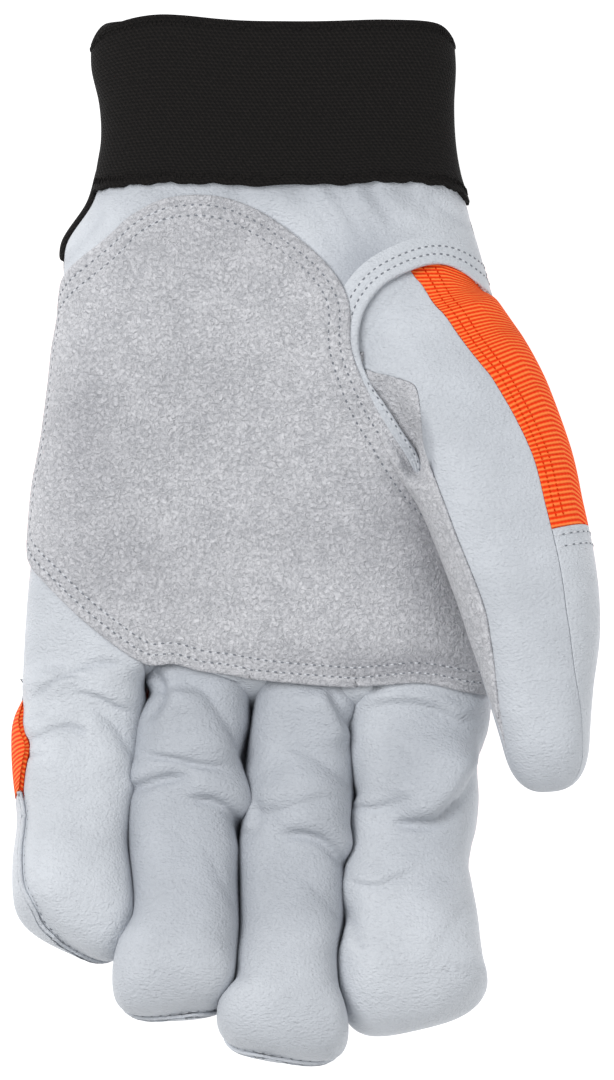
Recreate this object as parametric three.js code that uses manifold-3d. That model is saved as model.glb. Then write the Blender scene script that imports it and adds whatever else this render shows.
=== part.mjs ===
// A left-hand mechanic's glove of white grain leather, lying on its back with the palm up.
// Millimetres. +X points to the thumb, +Y from the fingertips to the cuff, +Z up from the table.
// Each piece of leather, suede, fabric or elastic is a wall of its own thickness, cut to its own outline.
import * as THREE from "three";
import { mergeVertices } from "three/addons/utils/BufferGeometryUtils.js";
import Module from "manifold-3d";

const wasm = await Module();
wasm.setup();

// Wall thicknesses, and the gap between neighbouring pieces.
const LEATHER = 1.2;
const SUEDE = 1.5;
const FABRIC = 1.1;
const ELASTIC = 1.9;
const GAP = 0.35;

// Where the main lines of the glove cross its length.
const WRIST_END = 87;
const BACK_TOP = 80.6;
const BLACK_END = 62;
const STRAP_START = -11;
const CROTCH = -35;
const STRAP_END = -39;
const WEB_LENGTH = { palm: 6, back: 16 };

// The hand: the outline seen from above, and the height of the palm over the table.
const HAND = [
  { y: 87, left: -48.0, right: 35.0, top: 25.8 },
  { y: 79, left: -49.6, right: 38.0, top: 26.6 },
  { y: 69, left: -55.6, right: 41.6, top: 28.0 },
  { y: 58, left: -56.6, right: 45.4, top: 29.6 },
  { y: 52, left: -57.2, right: 48.2, top: 30.2 },
  { y: 45, left: -58.2, right: 48.0, top: 30.4 },
  { y: 36, left: -59.6, right: 46.0, top: 30.2 },
  { y: 24, left: -61.2, right: 39.6, top: 29.2 },
  { y: 12, left: -63.4, right: 33.8, top: 28.2 },
  { y: -2, left: -64.6, right: 35.2, top: 27.6 },
  { y: -18, left: -66.0, right: 39.4, top: 27.0 },
  { y: -35, left: -66.9, right: 42.6, top: 26.6 },
];
// Shares of the hand's width at which one finger ends and the next begins.
const SHARES = [0, 0.281, 0.49, 0.714, 1];
const SEAM_SHARE = 0.47;
const ROUND = { palm: 3.0, back: 3.6 };
// The back is pressed flat by this much where it rests on the table.
const PRESS = 1.6;
// Soft rises and hollows of the palm.
const MOUNDS = [
  { x: -14, y: 22, reachX: 26, reachY: 34, rise: -3.4 },
  { x: 26, y: 60, reachX: 17, reachY: 15, rise: 2.4 },
  { x: -48, y: 34, reachX: 12, reachY: 30, rise: 1.4 },
  { x: -8, y: 74, reachX: 12, reachY: 8, rise: -1.2 },
];

// Fingers, from the crotch to the tip: middle line, half width, height of the palm side and depth of the
// back from the side seam, and the roll about the finger's length in degrees. Low palm values are the
// folds over the joints. The slant is how far the tip runs back towards the wrist, for each mm across it
// towards the thumb.
const FINGERS = [
  {
    name: "little",
    tip: -96,
    cap: -59.5,
    slant: -0.2,
    rows: [
      { y: -41, x: -52.9, half: 15.2, z: 13.2, palm: 11.8, back: 12.8, roll: -9 },
      { y: -46, x: -53.4, half: 15.5, z: 13.8, palm: 10.6, back: 13.0, roll: -14 },
      { y: -54, x: -54.0, half: 14.8, z: 15.4, palm: 12.8, back: 13.0, roll: -15 },
      { y: -66, x: -54.6, half: 13.2, z: 19.0, palm: 12.4, back: 12.6, roll: -13 },
      { y: -76, x: -55.4, half: 13.4, z: 22.6, palm: 12.2, back: 12.2, roll: -13 },
      { y: -86, x: -54.9, half: 13.6, z: 27.4, palm: 11.8, back: 11.8, roll: -13 },
      { y: -96, x: -52.8, half: 13.0, z: 35.2, palm: 10.8, back: 11.4, roll: -12 },
    ],
  },
  {
    name: "ring",
    tip: -110.3,
    cap: -72,
    slant: 0.06,
    rows: [
      { y: -44, x: -25.6, half: 11.6, z: 13.6, palm: 12.8, back: 13.0, roll: 0 },
      { y: -51, x: -25.9, half: 11.9, z: 14.8, palm: 11.4, back: 13.2, roll: 0 },
      { y: -57, x: -26.6, half: 12.3, z: 16.2, palm: 12.6, back: 13.0, roll: 0 },
      { y: -63, x: -27.5, half: 12.8, z: 18.0, palm: 11.4, back: 12.8, roll: 0 },
      { y: -75, x: -28.2, half: 12.9, z: 22.0, palm: 12.6, back: 12.6, roll: 0 },
      { y: -88, x: -28.1, half: 12.2, z: 27.4, palm: 12.0, back: 12.2, roll: 0 },
      { y: -99, x: -30.0, half: 13.3, z: 33.2, palm: 11.8, back: 11.8, roll: 0 },
      { y: -110.3, x: -31.0, half: 13.4, z: 42.0, palm: 10.8, back: 11.4, roll: 0 },
    ],
  },
  {
    name: "middle",
    tip: -121.8,
    cap: -79,
    slant: -0.1,
    rows: [
      { y: -44, x: -1.4, half: 11.7, z: 13.6, palm: 13.0, back: 13.0, roll: 0 },
      { y: -56, x: -1.6, half: 11.8, z: 15.6, palm: 12.6, back: 13.2, roll: 0 },
      { y: -63, x: -1.9, half: 12.0, z: 17.2, palm: 11.2, back: 13.0, roll: 0 },
      { y: -70, x: -2.6, half: 11.8, z: 19.0, palm: 12.2, back: 12.8, roll: 0 },
      { y: -82, x: -3.5, half: 11.4, z: 22.8, palm: 12.4, back: 12.6, roll: 0 },
      { y: -94, x: -3.9, half: 11.6, z: 27.4, palm: 12.0, back: 12.2, roll: 0 },
      { y: -108, x: -4.7, half: 13.4, z: 34.2, palm: 11.8, back: 11.8, roll: 0 },
      { y: -121.8, x: -5.2, half: 14.2, z: 44.0, palm: 10.8, back: 11.4, roll: 0 },
    ],
  },
  {
    name: "index",
    tip: -114.6,
    cap: -75,
    slant: 0.36,
    rows: [
      { y: -41, x: 26.7, half: 15.4, z: 13.4, palm: 12.6, back: 12.8, roll: 0 },
      { y: -50, x: 25.7, half: 14.6, z: 14.4, palm: 14.0, back: 13.2, roll: 2 },
      { y: -60, x: 25.6, half: 14.3, z: 16.0, palm: 13.4, back: 13.2, roll: 3 },
      { y: -66, x: 25.5, half: 14.1, z: 17.2, palm: 11.0, back: 13.2, roll: 3 },
      { y: -74, x: 24.5, half: 13.6, z: 19.2, palm: 12.6, back: 13.0, roll: 3 },
      { y: -81, x: 23.6, half: 14.9, z: 21.2, palm: 12.0, back: 12.8, roll: 3 },
      { y: -92, x: 24.7, half: 15.6, z: 25.0, palm: 13.2, back: 12.6, roll: 3 },
      { y: -104, x: 25.3, half: 16.3, z: 30.0, palm: 12.8, back: 12.4, roll: 3 },
      { y: -114.6, x: 24.4, half: 15.6, z: 37.6, palm: 11.4, back: 11.8, roll: 3 },
    ],
  },
];
const FINGER_ROUND = 2.5;
const TIP_LENGTH = 10.5;
const TIP_SQUARE = 2.6;
// The slant of a tip begins this far from its end.
const SLANT_LENGTH = 24;

// The thumb, from its root inside the hand to its tip.
const THUMB = [
  { y: 78, x: 26.0, half: 8.4, z: 14.4, palm: 7.6, back: 8.4 },
  { y: 72, x: 26.4, half: 10.2, z: 14.8, palm: 8.8, back: 9.6 },
  { y: 64, x: 26.2, half: 13.2, z: 15.4, palm: 10.4, back: 11.0 },
  { y: 56, x: 27.0, half: 16.2, z: 16.8, palm: 12.6, back: 12.2 },
  { y: 50, x: 28.8, half: 18.8, z: 17.6, palm: 13.8, back: 12.8 },
  { y: 40, x: 32.4, half: 21.4, z: 19.6, palm: 14.4, back: 13.6 },
  { y: 28, x: 37.8, half: 21.4, z: 22.0, palm: 14.6, back: 14.0 },
  { y: 16, x: 43.6, half: 19.4, z: 24.4, palm: 14.4, back: 14.0 },
  { y: 5, x: 47.2, half: 18.2, z: 26.8, palm: 13.8, back: 13.6 },
  { y: -9, x: 51.2, half: 17.0, z: 29.2, palm: 13.0, back: 13.0 },
  { y: -22, x: 53.6, half: 15.4, z: 31.0, palm: 12.2, back: 12.4 },
  { y: -35, x: 54.8, half: 12.6, z: 32.4, palm: 11.2, back: 11.6 },
  { y: -48, x: 56.2, half: 10.2, z: 33.4, palm: 10.0, back: 10.4 },
  { y: -59, x: 57.2, half: 9.0, z: 34.0, palm: 8.6, back: 9.0 },
];
const THUMB_TIP = -59;
const THUMB_ROOT = 70;
const THUMB_TIP_LENGTH = 12;
// The thumb's walls end this far under the hand's two sides, so that its hollow and the hand's are one.
const THUMB_DEPTH = { palm: 9, back: 4 };
// Where the thumb's seams run round it, in degrees from straight up, positive to the outside.
const THUMB_SEAMS = [
  { y: 70, outer: -8, inner: -70, under: -124 },
  { y: 63, outer: 2, inner: -71, under: -126 },
  { y: 55, outer: 11, inner: -72, under: -128 },
  { y: 48, outer: 12, inner: -73, under: -128 },
  { y: 43.2, outer: 13, inner: -72, under: -128 },
  { y: 40.3, outer: 14, inner: -36, under: -128 },
  { y: 37, outer: 16, inner: -21, under: -128 },
  { y: 28, outer: 20, inner: -28, under: -128 },
  { y: 16, outer: 23, inner: -41, under: -128 },
  { y: 3, outer: 21, inner: -40, under: -124 },
  { y: -20, outer: 19, inner: -43, under: -104 },
  { y: -30, outer: 28, inner: -53, under: -90 },
  { y: -42, outer: 40, inner: -66, under: -76 },
  { y: -59, outer: 60, inner: -72, under: -76 },
];
// The gap between neighbouring pieces of the thumb, as an angle round it in radians.
const THUMB_SEAM = 0.02;
const THUMB_CAP_START = -1.8;
// The suede between the thumb and the palm is cut to a corner: its upper edge runs between these two
// places.
const SUEDE_CORNER = { start: 43.2, turn: 40.3, end: 37 };
const SUEDE_STRIP_END = -42;

// The opening of the palm leather that the thumb comes out of, seen from above.
const THUMB_OPENING = [
  [70, 42],
  [51.5, 47],
  [44, 56.5],
  [37, 63.5],
  [29, 66.8],
  [20.5, 64.6],
  [14.4, 59],
  [12.2, 50],
  [13, 40],
  [16.4, 34],
  [21.4, 26.4],
  [25.6, 17.6],
  [30, 9.4],
  [36, 0],
  [70, -6],
];

// The suede patch seen from above. Its left side runs past the edge of the hand and wraps round it.
const PATCH = [
  [-32.5, 80.2],
  [-20.6, 80.6],
  [-9, 76],
  [2.5, 67],
  [9.4, 57.5],
  [10.5, 47],
  [12.2, 37],
  [16, 26.4],
  [20.4, 18.4],
  [27, 11.6],
  [33.6, 3],
  [39, -12],
  [44, -28],
  [44, -34],
  [24.6, -33.2],
  [10.7, -34.2],
  [-4, -32.4],
  [-18, -31.2],
  [-30.7, -27.8],
  [-38.6, -28.4],
  [-50.6, -20.4],
  [-60.6, -10.6],
  [-65.6, 0],
  [-72, 14],
  [-72, 36],
  [-62.4, 50],
  [-57.4, 57],
  [-48.4, 69.4],
  [-41, 76],
];

// The elastic cuff: outline seen from above and height over the table.
const CUFF = [
  { y: 122, left: -50.8, right: 34.8, low: 0.6, top: 25.8 },
  { y: 114, left: -50.6, right: 35.2, low: 0.4, top: 26.2 },
  { y: 104, left: -48.8, right: 34.8, low: 0.4, top: 26.4 },
  { y: 95, left: -48.4, right: 35.2, low: 0.2, top: 26.6 },
  { y: 88, left: -49.4, right: 36.4, low: 0, top: 26.8 },
  { y: 82, left: -50.4, right: 38.4, low: 0, top: 27.2 },
];
const CUFF_ROUND = 2.9;
// How far each edge of the cuff lies from its straight line, going round it in degrees from the middle of
// the palm side, positive towards the thumb.
const CUFF_EDGES = [
  { at: -180, mouth: 0, hem: -1 },
  { at: -120, mouth: 0, hem: -0.6 },
  { at: -90, mouth: -5.4, hem: 0 },
  { at: -60, mouth: -1.4, hem: 0.8 },
  { at: -30, mouth: 1.4, hem: 1.8 },
  { at: 0, mouth: -0.2, hem: 1.2 },
  { at: 30, mouth: 0.2, hem: 2.0 },
  { at: 60, mouth: -0.6, hem: 0.8 },
  { at: 90, mouth: -4.6, hem: -2.6 },
  { at: 120, mouth: -0.6, hem: -2.6 },
  { at: 180, mouth: 0, hem: -1 },
];

// How finely the walls are faceted.
const SEGMENTS = { finger: 6, thumb: 16, cuff: 32 };
const STEP = { hand: 9, finger: 7 };
const TIP_STATIONS = [0, 0.5, 0.8, 0.95, 1];

const radians = THREE.MathUtils.degToRad;
const mix = THREE.MathUtils.lerp;

// A value between -1 and 1 raised to a power, keeping its sign.
function signedPower(value, power) {
  return Math.sign(value) * Math.abs(value) ** power;
}

// A column of a table read at any place between its rows, as a smooth curve through them.
function read(rows, key, at, column) {
  const rising = rows[0][key] < rows[rows.length - 1][key];
  const sorted = rising ? rows : [...rows].reverse();
  const last = sorted.length - 1;
  let i = 0;
  while (i < last - 1 && at > sorted[i + 1][key]) i++;
  const [a, b] = [sorted[i], sorted[i + 1]];
  const before = sorted[Math.max(i - 1, 0)];
  const after = sorted[Math.min(i + 2, last)];
  const width = b[key] - a[key];
  const t = THREE.MathUtils.clamp((at - a[key]) / width, 0, 1);
  const slopeA = ((b[column] - before[column]) / (b[key] - before[key])) * width;
  const slopeB = ((after[column] - a[column]) / (after[key] - a[key])) * width;
  const t2 = t * t;
  const t3 = t2 * t;
  return (
    (2 * t3 - 3 * t2 + 1) * a[column] +
    (t3 - 2 * t2 + t) * slopeA +
    (3 * t2 - 2 * t3) * b[column] +
    (t3 - t2) * slopeB
  );
}

// All columns of a table at one place.
function readRow(rows, at) {
  const row = { y: at };
  for (const column of Object.keys(rows[0])) {
    if (column !== "y") row[column] = read(rows, "y", at, column);
  }
  return row;
}

// The soft rises and hollows of the palm, added to its height.
function mound(x, y) {
  let rise = 0;
  for (const m of MOUNDS) {
    rise += m.rise * Math.exp(-(((x - m.x) / m.reachX) ** 2) - ((y - m.y) / m.reachY) ** 2);
  }
  return rise;
}

// The hand's outline at one station: where its middle is, how wide it is, and where the side seam lies.
function handAt(y) {
  const row = readRow(HAND, y);
  return {
    left: row.left,
    right: row.right,
    middle: (row.left + row.right) / 2,
    half: (row.right - row.left) / 2,
    seam: row.top * SEAM_SHARE,
    top: row.top,
  };
}

// A point of the hand: side is "palm" or "back", and share runs from 0 at the little finger's side seam to
// 1 at the thumb's.
function handPoint(side, share, y, inset) {
  const hand = handAt(y);
  const round = ROUND[side];
  const angle = Math.asin(signedPower(2 * share - 1, round / 2));
  const x = hand.middle + (hand.half - inset) * signedPower(Math.sin(angle), 2 / round);
  const rise = Math.cos(angle) ** (2 / round);
  if (side === "palm") {
    const z = hand.seam + GAP / 2 + (hand.top - hand.seam - inset) * rise;
    return new THREE.Vector3(x, y, z + mound(x, y) * rise);
  }
  const z = hand.seam - GAP / 2 - (hand.seam - GAP / 2 + PRESS - inset) * rise;
  return new THREE.Vector3(x, y, Math.max(z, inset));
}

// Shares across one finger's part of the hand, closer together at the two side seams, where the hand turns
// round.
function shareAcross(finger, across) {
  const angleAt = (share) => Math.asin(signedPower(2 * share - 1, ROUND.palm / 2));
  const angle = mix(angleAt(SHARES[finger]), angleAt(SHARES[finger + 1]), across);
  return (signedPower(Math.sin(angle), 2 / ROUND.palm) + 1) / 2;
}

// One finger's section where it leaves the hand, so that its table starts level with the hand.
function rootRow(finger) {
  const hand = handAt(CROTCH);
  const from = mix(hand.left, hand.right, SHARES[finger]);
  const to = mix(hand.left, hand.right, SHARES[finger + 1]);
  return {
    y: CROTCH,
    x: (from + to) / 2,
    half: (to - from) / 2 - 1.4 * GAP,
    z: hand.seam,
    palm: hand.top - hand.seam,
    back: hand.seam,
    roll: 0,
  };
}
const FINGER_TUBES = FINGERS.map(({ tip, slant, rows }, i) => ({
  rows: [rootRow(i), ...rows],
  tip,
  tipLength: TIP_LENGTH,
  slant,
}));
const THUMB_TUBE = { rows: THUMB, tip: THUMB_TIP, tipLength: THUMB_TIP_LENGTH, slant: 0 };

// The middle line's direction, and the two directions of the section across it.
function frameAt(rows, y) {
  const ahead = readRow(rows, Math.max(y - 1, rows[rows.length - 1].y));
  const behind = readRow(rows, Math.min(y + 1, rows[0].y));
  const along = new THREE.Vector3(ahead.x - behind.x, ahead.y - behind.y, ahead.z - behind.z).normalize();
  const side = new THREE.Vector3(1, 0, 0);
  side.addScaledVector(along, -side.dot(along)).normalize();
  const up = along.clone().cross(side);
  return { along, side, up };
}

// A point of a finger or thumb: angle in radians from the palm side, positive towards the thumb.
function tubePoint({ rows, tip, tipLength, slant }, y, angle, inset, lift) {
  const into = THREE.MathUtils.clamp((tip + tipLength - y) / tipLength, 0, 1);
  const station = into > 0 ? tip + tipLength - into * (tipLength - inset) : y;
  const row = readRow(rows, station);
  const { side, up } = frameAt(rows, station);
  const wide = (1 - into ** TIP_SQUARE) ** (1 / TIP_SQUARE);
  const deep = Math.sqrt(1 - into * into);
  const power = 2 / FINGER_ROUND;
  const across = (row.half - inset) * wide * signedPower(Math.sin(angle), power);
  const height = (Math.cos(angle) > 0 ? row.palm : row.back) - inset;
  const rise = height * deep * signedPower(Math.cos(angle), power) + lift;
  const roll = radians(row.roll ?? 0);
  const point = new THREE.Vector3(row.x, station, row.z)
    .addScaledVector(side, across * Math.cos(roll) - rise * Math.sin(roll))
    .addScaledVector(up, rise * Math.cos(roll) + across * Math.sin(roll));
  const near = THREE.MathUtils.clamp((tip + SLANT_LENGTH - station) / SLANT_LENGTH, 0, 1);
  point.y += slant * near * near * (point.x - row.x);
  return point;
}

// A point of one finger, with across from 0 at its little-finger seam to 1 at its thumb seam.
function fingerPoint(finger, side, across, y, inset) {
  const facing = side === "palm" ? 0 : Math.PI;
  const turn = (across - 0.5) * Math.PI;
  const angle = side === "palm" ? turn : facing - turn;
  const lift = side === "palm" ? GAP / 2 : -GAP / 2;
  return tubePoint(FINGER_TUBES[finger], y, angle, inset, lift);
}

// A point of the hand near the fingers: it takes the finger's round section as it comes to the crotch.
function handToFinger(finger, side, across, y, inset) {
  const flat = handPoint(side, shareAcross(finger, across), y, inset);
  const into = THREE.MathUtils.clamp((CROTCH + WEB_LENGTH[side] - y) / WEB_LENGTH[side], 0, 1);
  if (into === 0) return flat;
  const round = fingerPoint(finger, side, across, CROTCH, inset);
  const hand = handAt(y);
  const from = mix(hand.left, hand.right, SHARES[finger]);
  const to = mix(hand.left, hand.right, SHARES[finger + 1]);
  const root = FINGER_TUBES[finger].rows[0];
  round.x = (from + to) / 2 + ((round.x - root.x) * (to - from - 2.8 * GAP)) / (2 * root.half);
  round.y += y - CROTCH;
  if (side === "back") round.z = Math.max(round.z, inset);
  return flat.lerp(round, into * into);
}

// A point of the groove between one finger and the next, with the wall lying flat over the crotch.
function groovePoint(finger, side, y, inset, thickness) {
  const flat = handPoint(side, SHARES[finger], y, inset);
  const into = THREE.MathUtils.clamp((CROTCH + WEB_LENGTH[side] - y) / WEB_LENGTH[side], 0, 1);
  const away = side === "palm" ? 1 : -1;
  const { left, right, seam } = handAt(y);
  const x = mix(left, right, SHARES[finger]);
  const z = seam + away * (GAP / 2 + thickness - inset);
  return flat.lerp(new THREE.Vector3(x, y, z), into * into);
}

// A closed solid between an outer and an inner net of points that share their faces. Every edge that only
// one face uses gets a wall across the thickness.
function wallSolid(outer, inner, faces) {
  const count = outer.length;
  const used = new Map();
  const triangles = [];
  for (const [a, b, c, d] of faces) {
    triangles.push(a, b, c, a, c, d);
    triangles.push(count + a, count + c, count + b, count + a, count + d, count + c);
    for (const [from, to] of [[a, b], [b, c], [c, d], [d, a]]) used.set(`${from},${to}`, [from, to]);
  }
  for (const [from, to] of used.values()) {
    if (used.has(`${to},${from}`)) continue;
    triangles.push(to, from, count + from, to, count + from, count + to);
  }
  const points = [...outer, ...inner].flatMap((p) => [p.x, p.y, p.z]);
  return solidFrom(new Float32Array(points), triangles);
}

// A solid of triangles whose shared corners are merged and whose flattened triangles are dropped.
function solidFrom(positions, triangles) {
  const geometry = new THREE.BufferGeometry();
  geometry.setAttribute("position", new THREE.BufferAttribute(positions, 3));
  geometry.setIndex(triangles);
  const merged = mergeVertices(geometry, 1e-3);
  const index = merged.index.array;
  const kept = [];
  for (let i = 0; i < index.length; i += 3) {
    const [a, b, c] = [index[i], index[i + 1], index[i + 2]];
    if (a !== b && b !== c && c !== a) kept.push(a, b, c);
  }
  return new wasm.Manifold(
    new wasm.Mesh({
      numProp: 3,
      vertProperties: merged.attributes.position.array,
      triVerts: new Uint32Array(kept),
    }),
  );
}

// A solid prism over an outline seen from above, as a smooth closed curve through its points.
function prism(points, low, high) {
  const corners = points.map(([x, y]) => new THREE.Vector3(x, y, 0));
  const curve = new THREE.CatmullRomCurve3(corners, true, "centripetal");
  const outline = curve.getPoints(points.length * 2).slice(0, -1);
  const shape = new THREE.Shape(outline.map((p) => new THREE.Vector2(p.x, p.y)));
  const settings = { depth: high - low, bevelEnabled: false, curveSegments: 1 };
  const geometry = new THREE.ExtrudeGeometry(shape, settings);
  geometry.translate(0, 0, low);
  geometry.deleteAttribute("normal");
  geometry.deleteAttribute("uv");
  const merged = mergeVertices(geometry, 1e-3);
  return solidFrom(merged.attributes.position.array, [...merged.index.array]);
}

// Stations down through a list of places, about a step apart, with every place of the list among them.
function stations(places, step) {
  const list = [places[0]];
  for (let i = 1; i < places.length; i++) {
    const count = Math.max(1, Math.round((places[i - 1] - places[i]) / step));
    for (let k = 1; k <= count; k++) list.push(mix(places[i - 1], places[i], k / count));
  }
  return list;
}

// The same, ending with stations that close in on a tip.
function tipStations(places, tip, length) {
  const round = TIP_STATIONS.slice(1).map((t) => tip + length * (1 - t));
  return [...stations([...places, tip + length], STEP.finger), ...round];
}

// The part of a list of stations from one place down to another, starting a gap below it.
function part(list, from, to) {
  const lower = list.filter((y) => y < from - 1e-6 && y >= to - 1e-6);
  return [from - GAP, ...lower];
}

// The stations that the palm side and the back have in common, so that their edges run side by side.
const WEB_START = CROTCH + WEB_LENGTH.palm;
const HAND_STATIONS = stations([WRIST_END, BLACK_END, STRAP_START, WEB_START, CROTCH + 3, CROTCH], STEP.hand);
const { start, turn, end } = SUEDE_CORNER;
const THUMB_PLACES = [THUMB_ROOT, start, turn, end, THUMB_CAP_START];
const THUMB_STATIONS = tipStations(THUMB_PLACES, THUMB_TIP, THUMB_TIP_LENGTH);
const FINGER_STATIONS = FINGERS.map(({ tip, cap }) => tipStations([CROTCH, STRAP_END, cap], tip, TIP_LENGTH));

// A piece cut from the glove's outer form. spans.hand holds its stations on the hand, and spans.fingers
// those on each finger that it runs onto, by the finger's number.
function glovePiece(side, thickness, spans, place = (inset) => inset) {
  const outer = [];
  const inner = [];
  const faces = [];
  const n = SEGMENTS.finger;
  const add = (point) => {
    outer.push(point(place(0)));
    inner.push(point(place(thickness)));
    return outer.length - 1;
  };
  const quad = (a, b, c, d) => faces.push(side === "palm" ? [a, c, d, b] : [a, b, d, c]);
  const strip = (upper, lower) => {
    for (let i = 0; i < upper.length - 1; i++) quad(upper[i], upper[i + 1], lower[i], lower[i + 1]);
  };
  const handRows = (spans.hand ?? []).map((y) => {
    const row = [];
    for (let i = 0; i <= 4 * n; i++) {
      const finger = Math.min(Math.floor(i / n), 3);
      const across = (i - finger * n) / n;
      const groove = across === 0 && finger > 0;
      row.push(
        add((inset) =>
          groove
            ? groovePoint(finger, side, y, inset, thickness)
            : handToFinger(finger, side, across, y, inset),
        ),
      );
    }
    return row;
  });
  handRows.slice(1).forEach((row, i) => strip(handRows[i], row));
  const lastHand = handRows[handRows.length - 1];
  for (const [key, list] of Object.entries(spans.fingers ?? {})) {
    const finger = Number(key);
    let upper = lastHand ? lastHand.slice(finger * n, finger * n + n + 1) : null;
    for (const y of list) {
      const row = [];
      for (let i = 0; i <= n; i++) row.push(add((inset) => fingerPoint(finger, side, i / n, y, inset)));
      if (upper) strip(upper, row);
      upper = row;
    }
  }
  return wallSolid(outer, inner, faces);
}

// A piece of the thumb between two of its seams, whose angles are functions of the station.
function thumbPiece(thickness, list, from, to) {
  const outer = [];
  const inner = [];
  const faces = [];
  const span = Math.abs(to(list[0]) - from(list[0]));
  const n = Math.max(2, Math.round((span / (2 * Math.PI)) * SEGMENTS.thumb));
  list.forEach((y, row) => {
    for (let i = 0; i <= n; i++) {
      const angle = mix(from(y), to(y), i / n);
      outer.push(tubePoint(THUMB_TUBE, y, angle, 0, 0));
      inner.push(tubePoint(THUMB_TUBE, y, angle, thickness, 0));
      if (row > 0 && i > 0) {
        const b = row * (n + 1) + i;
        faces.push([b - n - 2, b - 1, b, b - n - 1]);
      }
    }
  });
  return wallSolid(outer, inner, faces);
}

// The whole thumb as one closed form, a little larger than the thumb, to cut its way through the hand.
function thumbForm(outset) {
  const list = [THUMB_ROOT + 4, ...THUMB_STATIONS];
  const n = SEGMENTS.thumb;
  const positions = [];
  const triangles = [];
  list.forEach((y, row) => {
    for (let i = 0; i < n; i++) {
      const p = tubePoint(THUMB_TUBE, y, (i / n) * 2 * Math.PI, -outset, 0);
      positions.push(p.x, p.y, p.z);
      if (row === 0) continue;
      const [a, b] = [(row - 1) * n + i, (row - 1) * n + ((i + 1) % n)];
      triangles.push(a, a + n, b + n, a, b + n, b);
    }
  });
  for (let i = 1; i < n - 1; i++) triangles.push(0, i, i + 1);
  return solidFrom(new Float32Array(positions), triangles);
}

// A point of the cuff, in degrees round it from the middle of the palm side, positive towards the thumb.
function cuffPoint(line, degrees, inset) {
  const [mouth, hem] = [CUFF[0].y, CUFF[CUFF.length - 1].y];
  const up = (line.y - hem) / (mouth - hem);
  const mouthShift = up ** 2 * read(CUFF_EDGES, "at", degrees, "mouth");
  const hemShift = (1 - up) ** 2 * read(CUFF_EDGES, "at", degrees, "hem");
  const angle = radians(degrees);
  const half = (line.right - line.left) / 2 - inset;
  const height = (line.top - line.low) / 2 - inset;
  return new THREE.Vector3(
    (line.right + line.left) / 2 + half * signedPower(Math.sin(angle), 2 / CUFF_ROUND),
    line.y + mouthShift + hemShift,
    (line.top + line.low) / 2 + height * signedPower(Math.cos(angle), 2 / CUFF_ROUND),
  );
}

// The inside of the hand as one closed form, a given depth under its two sides, where the thumb has no
// wall.
function handForm(depth) {
  const across = Array.from({ length: 4 * SEGMENTS.finger + 1 }, (_, i) => i);
  const positions = [];
  const triangles = [];
  const list = HAND_STATIONS.filter((y) => y > WEB_START - 1);
  for (const y of list) {
    for (const side of ["palm", "back"]) {
      for (const i of across) {
        const finger = Math.min(Math.floor(i / SEGMENTS.finger), 3);
        const share = shareAcross(finger, i / SEGMENTS.finger - finger);
        const p = handPoint(side, share, y, depth[side]);
        positions.push(p.x, p.y, p.z);
      }
    }
  }
  const n = across.length;
  const ring = [...across, ...across.map((i) => 2 * n - 1 - i)];
  for (let row = 0; row < list.length - 1; row++) {
    const [upper, lower] = [row * 2 * n, (row + 1) * 2 * n];
    ring.forEach((a, k) => {
      const b = ring[(k + 1) % ring.length];
      triangles.push(upper + a, lower + a, lower + b, upper + a, lower + b, upper + b);
    });
  }
  const end = (list.length - 1) * 2 * n;
  for (let i = 0; i < n - 1; i++) {
    triangles.push(i, i + 1, n + i + 1, i, n + i + 1, n + i);
    triangles.push(end + i, end + n + i + 1, end + i + 1, end + i, end + n + i, end + n + i + 1);
  }
  return solidFrom(new Float32Array(positions), triangles);
}

// The largest body of a cut solid, without the scraps that the cut leaves.
function largest(solid) {
  return solid.decompose().reduce((a, b) => (b.volume() > a.volume() ? b : a));
}

// The elastic cuff: one band all the way round the wrist.
function cuffSolid() {
  const outer = [];
  const inner = [];
  const faces = [];
  const n = SEGMENTS.cuff;
  CUFF.forEach((line, row) => {
    for (let i = 0; i < n; i++) {
      const degrees = -180 + (360 * i) / n;
      outer.push(cuffPoint(line, degrees, 0));
      inner.push(cuffPoint(line, degrees, ELASTIC));
      if (row === 0) continue;
      const [a, b] = [(row - 1) * n + i, (row - 1) * n + ((i + 1) % n)];
      faces.push([a, a + n, b + n, b]);
    }
  });
  return wallSolid(outer, inner, faces);
}

// The whole cuff as one closed form, a gap larger than the cuff, to end the pieces that it covers.
function cuffForm() {
  const n = SEGMENTS.cuff;
  const positions = [];
  const triangles = [];
  CUFF.forEach((line, row) => {
    for (let i = 0; i < n; i++) {
      const p = cuffPoint(line, -180 + (360 * i) / n, -GAP);
      positions.push(p.x, row === CUFF.length - 1 ? p.y - GAP : p.y, p.z);
      if (row === 0) continue;
      const [a, b] = [(row - 1) * n + i, (row - 1) * n + ((i + 1) % n)];
      triangles.push(a, a + n, b + n, a, b + n, b);
    }
  });
  const last = (CUFF.length - 1) * n;
  for (let i = 1; i < n - 1; i++) {
    triangles.push(0, i, i + 1);
    triangles.push(last, last + i + 1, last + i);
  }
  return solidFrom(new Float32Array(positions), triangles);
}

// The suede patch: a second wall over the palm, on the same net as the palm, and cut to its outline.
function patchSolid() {
  const over = (inset) => inset - GAP - SUEDE;
  return glovePiece("palm", SUEDE, { hand: HAND_STATIONS }, over).intersect(prism(PATCH, 8, 60));
}

const glove = new THREE.Group();

// Adds one named piece with its finish.
function addPiece(name, solid, finish) {
  const mesh = solid.getMesh();
  const geometry = new THREE.BufferGeometry();
  const corners = new Float32Array(mesh.vertProperties);
  geometry.setAttribute("position", new THREE.BufferAttribute(corners, 3));
  geometry.setIndex(new THREE.BufferAttribute(new Uint32Array(mesh.triVerts), 1));
  geometry.computeVertexNormals();
  const piece = new THREE.Mesh(geometry, finish);
  piece.name = name;
  glove.add(piece);
}

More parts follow.
